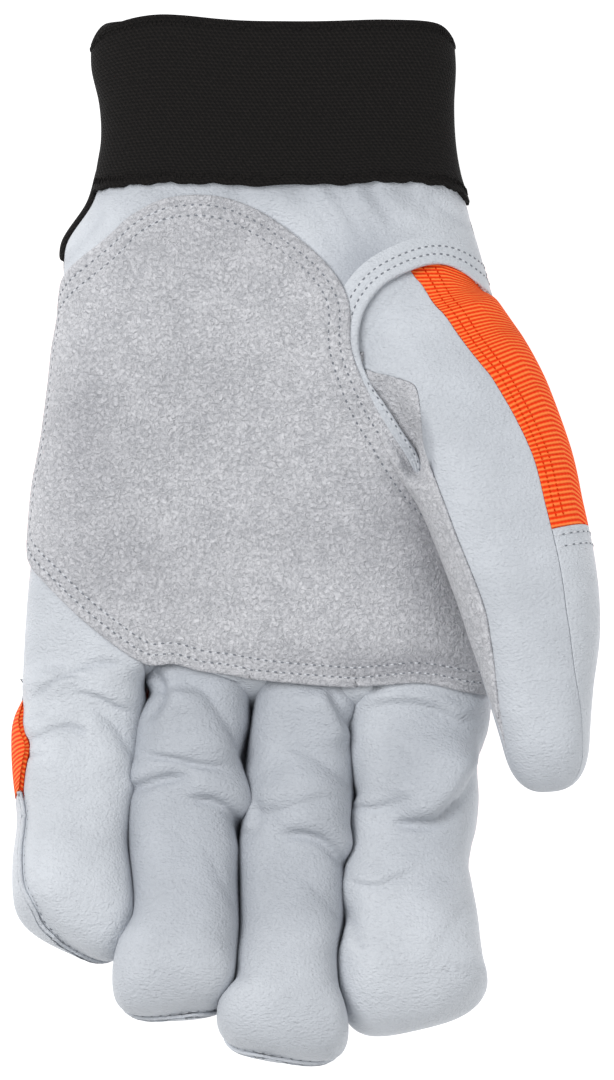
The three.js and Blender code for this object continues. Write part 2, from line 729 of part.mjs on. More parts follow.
const GRAIN_LEATHER = new THREE.MeshStandardMaterial({ color: "#d5d9e0", roughness: 0.55, metalness: 0 });
const SPLIT_LEATHER = new THREE.MeshStandardMaterial({ color: "#b9bcc0", roughness: 0.95, metalness: 0 });
const ORANGE_FABRIC = new THREE.MeshStandardMaterial({ color: "#ff5a14", roughness: 0.8, metalness: 0 });
const BLACK_ELASTIC = new THREE.MeshStandardMaterial({ color: "#1d1c1d", roughness: 0.9, metalness: 0 });

const cuffWay = cuffForm();
const thumbWay = thumbForm(GAP + 0.15);
const openingWay = prism(THUMB_OPENING, 13, 60);

// The palm side: one skin runs from the wrist over the palm and on up the index and little fingers.
const palm = glovePiece("palm", LEATHER, {
  hand: HAND_STATIONS,
  fingers: { 0: FINGER_STATIONS[0].slice(1), 3: FINGER_STATIONS[3].slice(1) },
});
addPiece("palm_leather", palm.subtract(cuffWay).subtract(thumbWay).subtract(openingWay), GRAIN_LEATHER);

// The ring and middle fingers have fronts of their own, sewn on at the crotch.
for (const finger of [1, 2]) {
  const { name, tip } = FINGERS[finger];
  const list = part(FINGER_STATIONS[finger], CROTCH - GAP, tip);
  addPiece(`${name}_front`, glovePiece("palm", LEATHER, { fingers: { [finger]: list } }), GRAIN_LEATHER);
}

// The suede patch over the palm.
addPiece("palm_patch", patchSolid().subtract(thumbForm(GAP + 0.2)), SPLIT_LEATHER);

// The back of the hand, from the wrist to the knuckles.
const handPart = (from, to) => part(HAND_STATIONS, from, to);
const black = glovePiece("back", FABRIC, { hand: handPart(BACK_TOP + GAP, BLACK_END) });
addPiece("wrist_back", black.subtract(cuffWay).subtract(thumbWay), BLACK_ELASTIC);
const back = glovePiece("back", FABRIC, { hand: handPart(BLACK_END, STRAP_START) });
addPiece("hand_back", back.subtract(thumbWay), ORANGE_FABRIC);
const tabStations = (list) => part(list, CROTCH, STRAP_END).slice(1);
const tabs = Object.fromEntries(FINGER_STATIONS.map((list, i) => [i, tabStations(list)]));
const strap = glovePiece("back", LEATHER, { hand: handPart(STRAP_START, CROTCH), fingers: tabs });
addPiece("knuckle_strap", strap, GRAIN_LEATHER);

// The back of each finger: fabric over the joints, and a leather cap over the tip.
FINGERS.forEach(({ name, tip, cap }, finger) => {
  const fingerPart = (from, to) => ({ fingers: { [finger]: part(FINGER_STATIONS[finger], from, to) } });
  addPiece(`${name}_back`, glovePiece("back", FABRIC, fingerPart(STRAP_END, cap)), ORANGE_FABRIC);
  addPiece(`${name}_cap`, glovePiece("back", LEATHER, fingerPart(cap, tip)), GRAIN_LEATHER);
});

// The thumb: leather front, fabric and a leather cap behind, and suede on the side that faces the palm.
const seam = (column, turn, gap) => (y) => radians(read(THUMB_SEAMS, "y", y, column) + turn) + gap;
const [outerUp, outerDown] = [seam("outer", 0, -THUMB_SEAM / 2), seam("outer", 0, THUMB_SEAM / 2)];
const [innerUp, innerDown] = [seam("inner", 0, THUMB_SEAM / 2), seam("inner", 0, -THUMB_SEAM / 2)];
const [underUp, underDown] = [seam("under", 0, THUMB_SEAM / 2), seam("under", 360, -THUMB_SEAM / 2)];
const suedeList = THUMB_STATIONS.filter((y) => y >= SUEDE_STRIP_END);
const fabricList = THUMB_STATIONS.filter((y) => y >= THUMB_CAP_START - 1e-6);
const capList = part(THUMB_STATIONS, THUMB_CAP_START, THUMB_TIP);
const handHollow = handForm(THUMB_DEPTH);
const addThumb = (name, solid, finish) => addPiece(name, largest(solid.subtract(handHollow)), finish);
addThumb("thumb_front", thumbPiece(LEATHER, THUMB_STATIONS, innerUp, outerUp), GRAIN_LEATHER);
addThumb("thumb_crotch", thumbPiece(SUEDE, suedeList, underUp, innerDown), SPLIT_LEATHER);
addThumb("thumb_back", thumbPiece(FABRIC, fabricList, outerDown, underDown), ORANGE_FABRIC);
addThumb("thumb_cap", thumbPiece(LEATHER, capList, outerDown, underDown), GRAIN_LEATHER);

addPiece("cuff", cuffSolid(), BLACK_ELASTIC);

// The origin is at the middle of the space that the glove takes up on the table.
const size = new THREE.Box3().setFromObject(glove);
const centre = size.getCenter(new THREE.Vector3());
glove.position.set(-centre.x, -centre.y, -size.min.z);

export default glove;
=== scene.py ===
# %% [markdown]
# # A mechanic's glove, lying palm up
# The glove is sewn from flat pieces: white grain goatskin on the palm side, grey split suede over the palm,
# orange ribbed stretch fabric on the backs, and a black woven elastic cuff. This lesson builds each sewn
# piece as a surface worked out with numpy, then gives it folds, turned edges, stitches and a finish. All
# shapes are worked out in millimetres, with +X to the thumb, +Y to the cuff and +Z up.

import bpy
import numpy as np
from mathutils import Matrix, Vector


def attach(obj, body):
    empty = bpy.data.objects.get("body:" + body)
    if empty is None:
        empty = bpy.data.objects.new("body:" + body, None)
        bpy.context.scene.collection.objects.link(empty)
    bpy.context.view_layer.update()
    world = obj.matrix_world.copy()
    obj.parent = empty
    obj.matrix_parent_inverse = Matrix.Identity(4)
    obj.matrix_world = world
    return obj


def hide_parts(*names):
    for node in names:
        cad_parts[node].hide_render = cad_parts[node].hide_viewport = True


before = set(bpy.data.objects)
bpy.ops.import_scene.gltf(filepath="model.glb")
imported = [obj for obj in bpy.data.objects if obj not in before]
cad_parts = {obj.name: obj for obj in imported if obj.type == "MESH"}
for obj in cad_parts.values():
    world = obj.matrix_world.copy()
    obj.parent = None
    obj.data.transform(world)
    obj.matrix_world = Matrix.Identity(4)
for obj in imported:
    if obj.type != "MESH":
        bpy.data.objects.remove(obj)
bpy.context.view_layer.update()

# A millimetre in metres, and where the middle of the glove's box lies, in mm.
MM = 0.001
SHIFT = np.array([0.0073, 0.3945, 0.0])
# The thickness of each material, in mm.
LEATHER = 1.2
SUEDE = 1.5
FABRIC = 1.1
ELASTIC = 1.9

# %% [markdown]
# ## Tables and the curves through them
# The glove's outline changes along its length, so its sizes are kept in short tables, one row per place. A
# cubic curve through the rows gives the sizes anywhere between them, as a tailor's curve does on a pattern.


# %% Read a table anywhere between its rows
def table(columns, *rows):
    """Named columns from rows of numbers, sorted by the first column."""
    data = np.array(sorted(rows), dtype=float)
    return {name: data[:, i] for i, name in enumerate(columns.split())}


def at(rows, where):
    """A cubic curve through the rows of a table: each row's slope is that between its two neighbours."""
    names = list(rows)
    keys = rows[names[0]]
    last = len(keys) - 1
    where = np.clip(np.asarray(where, dtype=float), keys[0], keys[-1])
    i = np.searchsorted(keys[1:-1], where, side="left")
    width = keys[i + 1] - keys[i]
    t = (where - keys[i]) / width
    low = np.maximum(np.arange(last + 1) - 1, 0)
    high = np.minimum(np.arange(last + 1) + 1, last)
    found = {}
    for name in names[1:]:
        v = rows[name]
        slope = (v[high] - v[low]) / (keys[high] - keys[low])
        found[name] = (
            (2 * t**3 - 3 * t**2 + 1) * v[i]
            + (t**3 - 2 * t**2 + t) * slope[i] * width
            + (3 * t**2 - 2 * t**3) * v[i + 1]
            + (t**3 - t**2) * slope[i + 1] * width
        )
    return found


def ease(t):
    """Runs from 0 to 1, level at both ends: three t squared less two t cubed."""
    t = np.clip(t, 0, 1)
    return t * t * (3 - 2 * t)


def power(value, exponent):
    """A value raised to a power with its sign kept."""
    return np.sign(value) * np.abs(value) ** exponent


def unit(vectors):
    """Vectors made one long."""
    return vectors / (np.linalg.norm(vectors, axis=-1, keepdims=True) + 1e-12)


def bell(distance, width):
    """A bell curve: 1 at no distance, and 0.37 at the width."""
    return np.exp(-((distance / width) ** 2))


def walked_along(line):
    """How far each point of a line lies from its first, along the line."""
    return np.concatenate([[0], np.cumsum(np.linalg.norm(np.diff(line, axis=0), axis=1))])


def places_on(line, walked, places):
    """Points on a line at the given distances, from what walked_along gives."""
    return np.stack([np.interp(places, walked, column) for column in line.T], axis=1)


# %% The sizes of the hand and the fingers
# Where the fingers part, and the length over which each fingertip closes.
CROTCH = -35
TIP_LENGTH = 10.5
# The section of a tube: the power that its sines are raised to. A smaller one makes a squarer section.
FULLNESS = 0.69
THUMB_FULLNESS = 0.8
HAND = table(
    "y left right top",
    (87, -48, 35, 25.8), (79, -50.4, 37.4, 26.6), (69, -56.6, 40.4, 28), (58, -57, 43.6, 29.6),
    (52, -57.4, 45.4, 30.2), (45, -58.6, 46.2, 30.4), (36, -59.6, 46, 30.2), (24, -61.2, 39.6, 29.2),
    (12, -63.4, 33.8, 28.2), (-2, -64.6, 35.2, 27.6), (-18, -66, 39.4, 27), (-35, -66.9, 42.6, 26.6),
)
# The shares of the hand's width where one finger's strip ends and the next starts, from the little finger.
SHARES = np.array([0, 0.264, 0.493, 0.718, 1])
# The height of the hand's side seams, as a share of the palm's.
SEAM_SHARE = 0.47
# The palm's mounds and hollows: x, y, reach across, reach along and height.
MOUNDS = [(-14, 22, 26, 34, -3.4), (26, 60, 17, 15, 2.4), (-48, 34, 12, 30, 1.4), (-8, 74, 12, 8, -1.2)]
NAMES = ["little", "ring", "middle", "index"]
TIPS = {"little": -94.6, "ring": -109.2, "middle": -119.2, "index": -112.8}
# Each tip's slant, how far it moves along y for each mm across over the last part of the finger, and the
# power of its outline. They are found by the y of the tip.
SLANT_LENGTH = 24.0
TIP_FORMS = {-94.6: (-0.46, 2.8), -109.2: (0.1, 3.6), -119.2: (-0.13, 3.6), -112.8: (0.18, 2.8)}
THUMB_FORM = (0, 2.6)
# Where the cap on each finger's back starts.
CAPS = {"little": -60.5, "ring": -72, "middle": -79, "index": -75}
# The middle of each finger's sections: its height, how far the front and the back reach from it, and a
# roll.
FINGERS = {
    "little": [
        (-41, 13.2, 11.8, 12.8, -7), (-46, 13.8, 11.6, 13, -10), (-54, 15.4, 12.8, 13, -11),
        (-66, 19, 12.4, 12.6, -10), (-76, 22.6, 12.2, 12.2, -10), (-86, 27.4, 11.8, 11.8, -11),
        (-96, 35.2, 10.8, 11.4, -12),
    ],
    "ring": [
        (-44, 13.6, 12.8, 13, 0), (-57, 16.2, 12.4, 13, 0), (-75, 22, 12.4, 12.6, 0),
        (-88, 27.4, 12, 12.2, 0), (-99, 33.2, 11.8, 11.8, 0), (-110.3, 42, 10.8, 11.4, 0),
    ],
    "middle": [
        (-44, 13.6, 13, 13, 0), (-56, 15.6, 12.6, 13.2, 0), (-70, 19, 12.1, 12.8, 0),
        (-82, 22.8, 12.4, 12.6, 0), (-94, 27.4, 12, 12.2, 0), (-108, 34.2, 11.8, 11.8, 0),
        (-121.8, 44, 10.8, 11.4, 0),
    ],
    "index": [
        (-41, 13.4, 12.6, 12.8, 0), (-50, 14.4, 13.8, 13.2, 2), (-60, 16, 13.2, 13.2, 3),
        (-66, 17.2, 12.2, 13.2, 3), (-74, 19.2, 12.6, 13, 3), (-92, 25, 13.2, 12.6, 3),
        (-104, 30, 12.8, 12.4, 3), (-114.6, 37.6, 11.4, 11.8, 3),
    ],
}
# Each finger's outlines from above, places (y, x) towards the little finger and towards the thumb.
OUTLINES = {
    "little": (
        [(-41, -67.1), (-46, -68.1), (-54, -67.8), (-66, -66.6), (-76, -67.6), (-86, -67.1), (-96, -64.2)],
        [
            (-38, -38.7), (-44, -39.3), (-50, -40.2), (-58, -40.9), (-65, -42.3), (-72, -43), (-80, -42),
            (-87, -41.1), (-96, -41.2),
        ],
    ),
    "ring": (
        [
            (-38, -35.9), (-41, -37.4), (-44, -38.9), (-48, -39.7), (-58, -40.4), (-66, -41.3), (-74, -41),
            (-82, -40), (-90, -40), (-94, -41.6), (-98, -43.8), (-104, -45), (-110, -45),
        ],
        [
            (-38, -14.2), (-42, -14.2), (-46, -15.4), (-50.5, -16.5), (-54, -15.7), (-58, -14.9),
            (-62, -14.7), (-65, -16), (-67.5, -17.5), (-74, -16.7), (-82, -17), (-91, -16.6), (-98, -17.1),
            (-105, -17.9), (-110, -18.7),
        ],
    ),
    "middle": (
        [
            (-38, -11.4), (-44, -12.2), (-52, -13), (-58, -13.9), (-67, -14.2), (-74, -15.2), (-82, -14.9),
            (-92, -15), (-100, -15.8), (-106, -16.2), (-109, -18.4), (-112, -20.2), (-121, -20.6),
        ],
        [
            (-38, 11.9), (-41, 11), (-44, 10.1), (-52, 10.3), (-59, 10.3), (-63, 9.6), (-67, 8.8),
            (-72, 8.9), (-77, 8.1), (-88, 7.8), (-94, 7), (-100, 6.5), (-105, 6.9), (-109, 8.2),
            (-113, 9.2), (-122, 9.4),
        ],
    ),
    "index": (
        [
            (-38, 12.5), (-42, 11.2), (-47, 10.5), (-53, 11), (-58, 11.8), (-61.5, 12.7), (-64.5, 11.1),
            (-68, 10.5), (-75, 10.6), (-79, 9.4), (-82, 8.5), (-85, 8.8), (-89.5, 10.2), (-93, 9.4),
            (-97, 8.2), (-101, 7.9), (-106, 8.6), (-114, 9.6),
        ],
        [
            (-38, 43.4), (-43, 42.8), (-46, 41.8), (-50, 40.5), (-54, 40.2), (-60, 40.5), (-66, 39.9),
            (-70, 38.8), (-76, 38.1), (-81, 38.8), (-88, 40.1), (-96, 41), (-102, 41.9), (-106, 42.7),
            (-112, 42.4),
        ],
    ),
}
THUMB = table(
    "y x half z palm back",
    (78, 26, 8.4, 14.4, 7.6, 8.4), (72, 26.4, 10.2, 14.8, 8.8, 9.6), (64, 26.2, 13.2, 15.4, 10.4, 11),
    (56, 26.4, 15.6, 16.8, 12.6, 12.2), (50, 27.9, 18.4, 17.6, 13.8, 12.8),
    (40, 31.4, 20.8, 19.6, 14.4, 13.6), (28, 37.5, 21.1, 22, 14.6, 14), (16, 43.6, 19.4, 24.4, 14.4, 14),
    (5, 47.2, 18.2, 26.8, 13.8, 13.6), (-9, 51.2, 17, 29.2, 13, 13), (-22, 53.6, 15.4, 31, 12.2, 12.4),
    (-35, 54.8, 12.6, 32.4, 11.2, 11.6), (-48, 56.2, 10.2, 33.4, 10, 10.4), (-59, 57.2, 9, 34, 8.6, 9),
)
THUMB_TIP = -59
# The thumb's seams, as angles round it from straight up, positive to the outside.
THUMB_SEAMS = table(
    "y outer inner under",
    (70, -16, -70, -124), (63, -7, -71, -126), (55, 5, -72, -128), (48, 10, -72, -128),
    (44.6, 11.7, -70, -128), (43.6, 12.2, -54, -128), (42.3, 12.9, -44.8, -128), (40.9, 13.7, -34, -128),
    (39.3, 14.6, -25.4, -128), (38, 15.3, -20.4, -128), (36.8, 16, -18.2, -128), (35, 17, -19, -128),
    (31.9, 19, -23, -128), (28.5, 20, -27.8, -128), (25.4, 21, -33.4, -127), (21.3, 22, -37.8, -126),
    (13.1, 23.5, -43.6, -124.5), (2.9, 23.6, -43.4, -124), (-6.6, 23.6, -41, -114),
    (-15.5, 23.8, -38.2, -107), (-20, 24.2, -39, -104), (-30, 31, -45.4, -90), (-42, 47, -60, -76),
    (-49, 52.8, -69.6, -70), (-59, 60, -72.6, -73),
)
print("tables read")

# %% [markdown]
# ## The hand and the fingers as formulas
# A glove lying flat is a rounded slab that turns into four tubes. Its section is a superellipse, which is
# fuller than an ellipse, because leather bridges the empty hollow instead of clinging to a hand. The palm
# is a height over each place, so the suede patch and the stitches can be laid out on it in mm.


# %% Heights of the palm and the back
def hand_at(y):
    """The hand's outline at y: its middle, half its width, the height of its side seam and of its palm."""
    row = at(HAND, y)
    return {
        "middle": (row["left"] + row["right"]) / 2,
        "half": (row["right"] - row["left"]) / 2,
        "seam": row["top"] * SEAM_SHARE,
        "top": row["top"],
    }


# The hand's sizes at the fingers' roots.
ROOT = {key: float(value) for key, value in hand_at(CROTCH).items()}


def finger_share(spread):
    """Which finger a place across the hand belongs to, and where it is on it, from -1 to 1."""
    share = (spread + 1) / 2
    finger = np.clip(np.searchsorted(SHARES[1:-1], share, side="right"), 0, 3)
    width = SHARES[finger + 1] - SHARES[finger]
    return finger, np.clip(2 * (share - SHARES[finger]) / width - 1, -1, 1)


def hand_point(side, spread, y, web=1.0):
    """The hand at spread, -1 at the little finger's side seam and 1 at the thumb's: the height is the top
    times (1 - |spread|^n)^(1/n), with n 3 on the palm and 3.6 on the back. It eases to the
    fingers' sections near them."""
    spread, y = np.broadcast_arrays(spread, y)
    hand = hand_at(y)
    n = 3.0 if side == "palm" else 3.6
    x = hand["middle"] + hand["half"] * spread
    rise = np.clip(1 - np.abs(spread) ** n, 0, 1) ** (1 / n)
    if side == "palm":
        mound = sum(high * bell(x - a, p) * bell(y - b, q) for a, b, p, q, high in MOUNDS)
        z = hand["seam"] + (hand["top"] - hand["seam"] + mound) * rise
        into = web * ease((CROTCH + 7 - y) / 7)
    else:
        z = np.maximum(hand["seam"] - (hand["seam"] + 1.6) * rise, 0)
        into = web * ease((CROTCH + 16 - y) / 16)
    flat = np.stack([x, y, z], axis=-1)
    if not np.any(into > 0):
        return flat
    finger, local = finger_share(spread)
    turn = np.arcsin(power(local, 1 / FULLNESS))
    turn = turn if side == "palm" else np.pi - turn
    arched = np.zeros_like(flat)
    for i, name in enumerate(NAMES):
        here = finger == i
        first = {key: column[-1] for key, column in TUBES[name].items()}
        low, high = ((hand["middle"] + hand["half"] * (2 * SHARES[i + k] - 1))[here] for k in (0, 1))
        arch = tube_point(TUBES[name], TIPS[name], TIP_LENGTH, CROTCH, turn[here])
        arch[:, 0] = (low + high) / 2 + (arch[:, 0] - first["x"]) * (high - low) / (2 * first["half"])
        arch[:, 1] += y[here] - CROTCH
        arched[here] = arch
    if side == "back":
        arched[..., 2] = np.maximum(arched[..., 2], 0)
    return flat + (arched - flat) * into[..., None]


# %% Fingers and thumb as tubes
def side_of(name, which):
    """One outline of a finger, 0 or 1, as a table that starts where the hand's strip for the finger ends. A
    side with a neighbour is 0.85 mm wider, because the last of its curve is lost in the shade."""
    edge = NAMES.index(name) + which
    start = ROOT["middle"] + ROOT["half"] * (2 * SHARES[edge] - 1)
    wider = (2 * which - 1) * (0.85 if 0 < edge < 4 else 0)
    return table("y x", (CROTCH, start), *[(y, x + wider) for y, x in OUTLINES[name][which]])


def reach_below(name, which, y):
    """How far a finger's flank swells out below its outline to its neighbour: half the gap and 1.5 mm."""
    number = NAMES.index(name) + 2 * which - 1
    if number not in range(4):
        return np.zeros_like(y)
    other = NAMES[number]
    gap = np.abs(at(side_of(other, 1 - which), y)["x"] - at(side_of(name, which), y)["x"])
    near = ease((y - max(TIPS[name], TIPS[other]) - 7) / 6) * ease((CROTCH - y) / 4)
    return (1.5 + gap / 2) * near


def finger_tube(name):
    """A finger's sections at every 0.75 mm: its middle and half its width come from the two outlines."""
    root = (CROTCH, ROOT["seam"], ROOT["top"] - ROOT["seam"], ROOT["seam"], 0)
    y = np.linspace(FINGERS[name][-1][0], CROTCH, 110)
    sides = [at(side_of(name, which), y)["x"] for which in (0, 1)]
    x = (sides[0] + sides[1]) / 2
    calm = np.convolve(np.pad(x, 12, mode="edge"), np.ones(25) / 25, "valid")
    rows = {"y": y, "x": x, "half": (sides[1] - sides[0]) / 2, "line": calm}
    rows.update(at(table("y z palm back roll", root, *FINGERS[name]), y))
    rows["below"] = reach_below(name, 0, y)
    rows["beyond"] = reach_below(name, 1, y)
    return rows


TUBES = {name: finger_tube(name) for name in NAMES}


def tube_point(rows, tip, length, y, turn):
    """A tube round its table's middle line. The section is a superellipse, of power 2.9 on a finger and 2.5
    on the thumb, and turn is the angle round it from the palm side. Its width and depth close to nothing
    over the tip's length. A finger's flanks swell out below by its table's last two columns, so that
    fingers touch down there. A slanted tip is sheared: its points move along y by the slant times their
    distance from the middle line."""
    y, turn = np.broadcast_arrays(y, turn)
    keys = rows["y"]
    row = at(rows, y)
    near_y = np.clip(y, keys[0], keys[-1])
    ahead = at(rows, near_y - 1)
    behind = at(rows, near_y + 1)
    span = np.maximum(near_y - 1, keys[0]) - np.minimum(near_y + 1, keys[-1])
    line = "line" if "line" in rows else "x"
    along = unit(np.stack([ahead[line] - behind[line], span, ahead["z"] - behind["z"]], axis=-1))
    side = unit(np.array([1.0, 0, 0]) - along * along[..., :1])
    up = np.cross(along, side)
    into = into_tip(tip, length, y)
    slant, square = TIP_FORMS.get(tip, THUMB_FORM)
    wide = (1 - into**square) ** (1 / square)
    deep = np.sqrt(1 - into**2)
    full = FULLNESS if "line" in rows else THUMB_FULLNESS
    across = row["half"] * wide * power(np.sin(turn), full)
    if "below" in row:
        down = np.degrees(np.arccos(np.clip(np.cos(turn), -1, 1)))
        flank = bell(down - 117, 20) * wide
        across += flank * np.where(np.sin(turn) > 0, row["beyond"], -row["below"])
    height = np.where(np.cos(turn) > 0, row["palm"], row["back"])
    rise = height * deep * power(np.cos(turn), full)
    roll = np.radians(row["roll"]) if "roll" in row else np.zeros_like(y)
    middle = np.stack([row["x"], y, row["z"]], axis=-1)
    level = across * np.cos(roll) - rise * np.sin(roll)
    raised = rise * np.cos(roll) + across * np.sin(roll)
    point = middle + side * level[..., None] + up * raised[..., None]
    near = into_tip(tip, SLANT_LENGTH, y) ** 2
    point[..., 1] += slant * near * (point[..., 0] - row["x"])
    return point


def into_tip(tip, length, y):
    """How far y lies into a tip, from 0 where it starts to close to 1 at its end."""
    return np.clip((tip + length - y) / length, 0, 1)


def even(dense, shares):
    """Each row of a grid of points is walked along, and points are set at the given shares of its
    length."""
    walks = [walked_along(row) for row in dense]
    return np.array([places_on(row, walked, shares * walked[-1]) for row, walked in zip(dense, walks)])


# How far the first rows lie from an edge that is turned under, in mm.
CLOSE = [0.14, 0.36, 0.66, 0.98]


def spaced(start, end, step, fine=(True, True)):
    """Places from start to end a step apart, with three closer ones at each end that has a turned edge."""
    length = abs(end - start)
    first = CLOSE[:3] * fine[0]
    final = [length - d for d in CLOSE[:3] * fine[1]]
    count = max(2, int(round(length / step)))
    middle = np.linspace(CLOSE[3] * fine[0], length - CLOSE[3] * fine[1], count)
    walk = np.unique(np.concatenate([[0, length], first, final, middle]))
    return start + (end - start) * walk / length


print("the palm at y 20 is", round(float(hand_at(20)["half"] * 2), 1), "mm wide")

# %% [markdown]
# ## Sheets of points
# A sewn piece is a sheet: a net of points with four-cornered faces. Small functions join nets that share an
# edge, find which way each point faces, and press folds, turned edges and stitch lines into the sheet.


# %% Nets, joins and normals
def quads(rows, columns):
    """The four-cornered faces of a grid whose points are numbered row by row."""
    number = np.arange(rows * columns).reshape(rows, columns)
    corners = [number[:-1, :-1], number[1:, :-1], number[1:, 1:], number[:-1, 1:]]
    return np.stack(corners, axis=-1).reshape(-1, 4)


def net(points, uv=None):
    """Faces between the rows and columns of a grid of points. The uv is in mm, along both."""
    if uv is None:
        across = np.linalg.norm(np.diff(points, axis=1), axis=2).mean(axis=0)
        along = np.linalg.norm(np.diff(points, axis=0), axis=2).max(axis=1)
        u = np.concatenate([[0], np.cumsum(across)])
        v = np.concatenate([[0], np.cumsum(along)])
        uv = np.stack(np.broadcast_arrays(u[None, :], v[:, None]), axis=-1)
    return {"points": points.reshape(-1, 3), "faces": quads(*points.shape[:2]), "uv": uv.reshape(-1, 2)}


def sew(*nets):
    """One sheet from several nets, with the points that they share made one and collapsed faces dropped."""
    offset = np.cumsum([0] + [len(n["points"]) for n in nets[:-1]])
    points = np.concatenate([n["points"] for n in nets])
    faces = np.concatenate([n["faces"] + o for n, o in zip(nets, offset)])
    corner_uv = np.concatenate([n["uv"] for n in nets])[faces]
    _, first, number = np.unique(np.round(points / 0.004), axis=0, return_index=True, return_inverse=True)
    faces = number.reshape(-1)[faces]
    sound = np.array([len(set(f)) for f in faces.tolist()]) > 2
    return {"points": points[first], "faces": faces[sound], "uv": corner_uv[sound]}


def normals(sheet):
    """The way each point faces: the sum of the crossed diagonals of the faces round it, made one long."""
    points, faces = sheet["points"], sheet["faces"]
    corner = points[faces]
    facing = np.cross(corner[:, 2] - corner[:, 0], corner[:, 3] - corner[:, 1])
    total = np.zeros_like(points)
    for k in range(4):
        np.add.at(total, faces[:, k], facing)
    return unit(total)


def push(sheet, amount):
    """The sheet with each point moved by an amount in mm the way it faces."""
    return {**sheet, "points": sheet["points"] + normals(sheet) * np.asarray(amount)[:, None]}


def reach(points, line):
    """The distance from each point (x, y) to a line of points, how far along the line its nearest place is,
    from 0 to 1, and whether the point lies on the left of the line."""
    line = np.asarray(line, dtype=float)
    start, step = line[:-1], np.diff(line, axis=0)
    lengths = np.linalg.norm(step, axis=1)
    walked = walked_along(line)
    best = np.full(len(points), 1e9)
    share = np.zeros(len(points))
    left = np.zeros(len(points), dtype=bool)
    for a, d, size, before in zip(start, step, lengths, walked):
        t = np.clip(((points - a) @ d) / (size**2 + 1e-12), 0, 1)
        away = points - a - t[:, None] * d
        gap = np.linalg.norm(away, axis=1)
        nearer = gap < best
        best = np.where(nearer, gap, best)
        share = np.where(nearer, (before + t * size) / walked[-1], share)
        left = np.where(nearer, d[0] * away[:, 1] - d[1] * away[:, 0] > 0, left)
    return best, share, left


def border(sheet):
    """The points on a sheet's open edges: the ends of each edge that only one face uses."""
    faces = sheet["faces"]
    pairs = np.sort(np.stack([faces, np.roll(faces, -1, axis=1)], axis=-1).reshape(-1, 2), axis=1)
    pairs = pairs[pairs[:, 0] != pairs[:, 1]]
    edges, used = np.unique(pairs, axis=0, return_counts=True)
    return edges[used == 1]


def edge_distance(sheet, most):
    """The distance from each point to the sheet's nearest open edge, or the most where it is more."""
    points = sheet["points"]
    edges = border(sheet)
    ends = points[edges]
    dots = np.concatenate([ends[:, 0] * (1 - t) + ends[:, 1] * t for t in (0, 0.5)])
    found = np.full(len(points), most)
    for block in np.array_split(np.arange(len(points)), max(1, len(points) // 1500)):
        low, high = points[block].min(axis=0) - most, points[block].max(axis=0) + most
        near = dots[np.all((dots > low) & (dots < high), axis=1)]
        if len(near):
            gaps = np.linalg.norm(points[block][:, None] - near[None], axis=2).min(axis=1)
            found[block] = np.minimum(found[block], gaps)
    return found


# The radius of an edge turned under at a seam, and how far from an edge the distance to it is worked out.
TURN = 0.27
EDGE_REACH = 4.0


def turn_edges(sheet, radius):
    """Edges turned down as at a sewn seam: a quarter circle of the given radius."""
    t = np.clip(edge_distance(sheet, EDGE_REACH) / radius, 0, 1)
    return push(sheet, -radius * (1 - np.sqrt(1 - (1 - t) ** 2)))


# %% A smooth line through a few points
def smooth_line(points, closed=False, step=0.5):
    """A Catmull-Rom curve through the points, walked at an even step in mm."""
    p = np.asarray(points, dtype=float)
    if closed:
        p = np.concatenate([p[-1:], p, p[:2]])
    else:
        p = np.concatenate([2 * p[:1] - p[1:2], p, 2 * p[-1:] - p[-2:-1]])
    t = np.linspace(0, 1, 24, endpoint=False)[:, None]
    parts = []
    for a, b, c, d in zip(p[:-3], p[1:-2], p[2:-1], p[3:]):
        bend = (2 * a - 5 * b + 4 * c - d) * t**2 + (3 * b - a - 3 * c + d) * t**3
        parts.append(0.5 * (2 * b + (c - a) * t + bend))
    dense = np.concatenate(parts + [p[-2:-1]])
    walked = walked_along(dense)
    count = max(4, int(round(walked[-1] / step)))
    return places_on(dense, walked, np.linspace(0, walked[-1], count + 1))


# %% Put a sheet into the scene
def new_object(name, data):
    """An object in the scene with the given mesh, lamp or camera."""
    item = bpy.data.objects.new(name, data)
    bpy.context.scene.collection.objects.link(item)
    return item


def put(name, sheet, finish, slot, replaces=(), wall=0.0):
    """A mesh object at the origin from a sheet in mm, with its uv and a wall that Solidify grows
    inwards."""
    points = (sheet["points"] + SHIFT) * MM
    faces = sheet["faces"]
    keep = faces != np.roll(faces, -1, axis=1)
    corners = [tuple(f[k]) for f, k in zip(faces, keep)]
    mesh = bpy.data.meshes.new(name)
    mesh.from_pydata(points.tolist(), [], [[int(c) for c in f] for f in corners])
    layer = mesh.uv_layers.new(name="mm")
    layer.data.foreach_set("uv", (sheet["uv"][keep] * MM).ravel())
    if "mark" in sheet:
        mark = mesh.attributes.new("mark", "FLOAT", "POINT")
        mark.data.foreach_set("value", np.clip(sheet["mark"], 0, 1))
    mesh.shade_smooth()
    mesh.materials.append(finish)
    piece = new_object(name, mesh)
    if wall:
        solid = piece.modifiers.new("wall", "SOLIDIFY")
        solid.thickness = wall * MM
        solid.offset = -1
    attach(piece, "root")
    if replaces:
        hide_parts(*replaces)
    print(name, len(points), "points", len(corners), "faces")
    return piece

# %% [markdown]
# ## Finishes
# Each finish starts from the real material: its colour in even light, how rough it is, and the relief that
# its making leaves, with every pattern scaled from a size in millimetres. The relief goes into bump nodes,
# because grain and nap are far finer than the mesh. Patterns that follow the cloth read the piece's own uv,
# which is in real metres, and the others read Object coordinates.

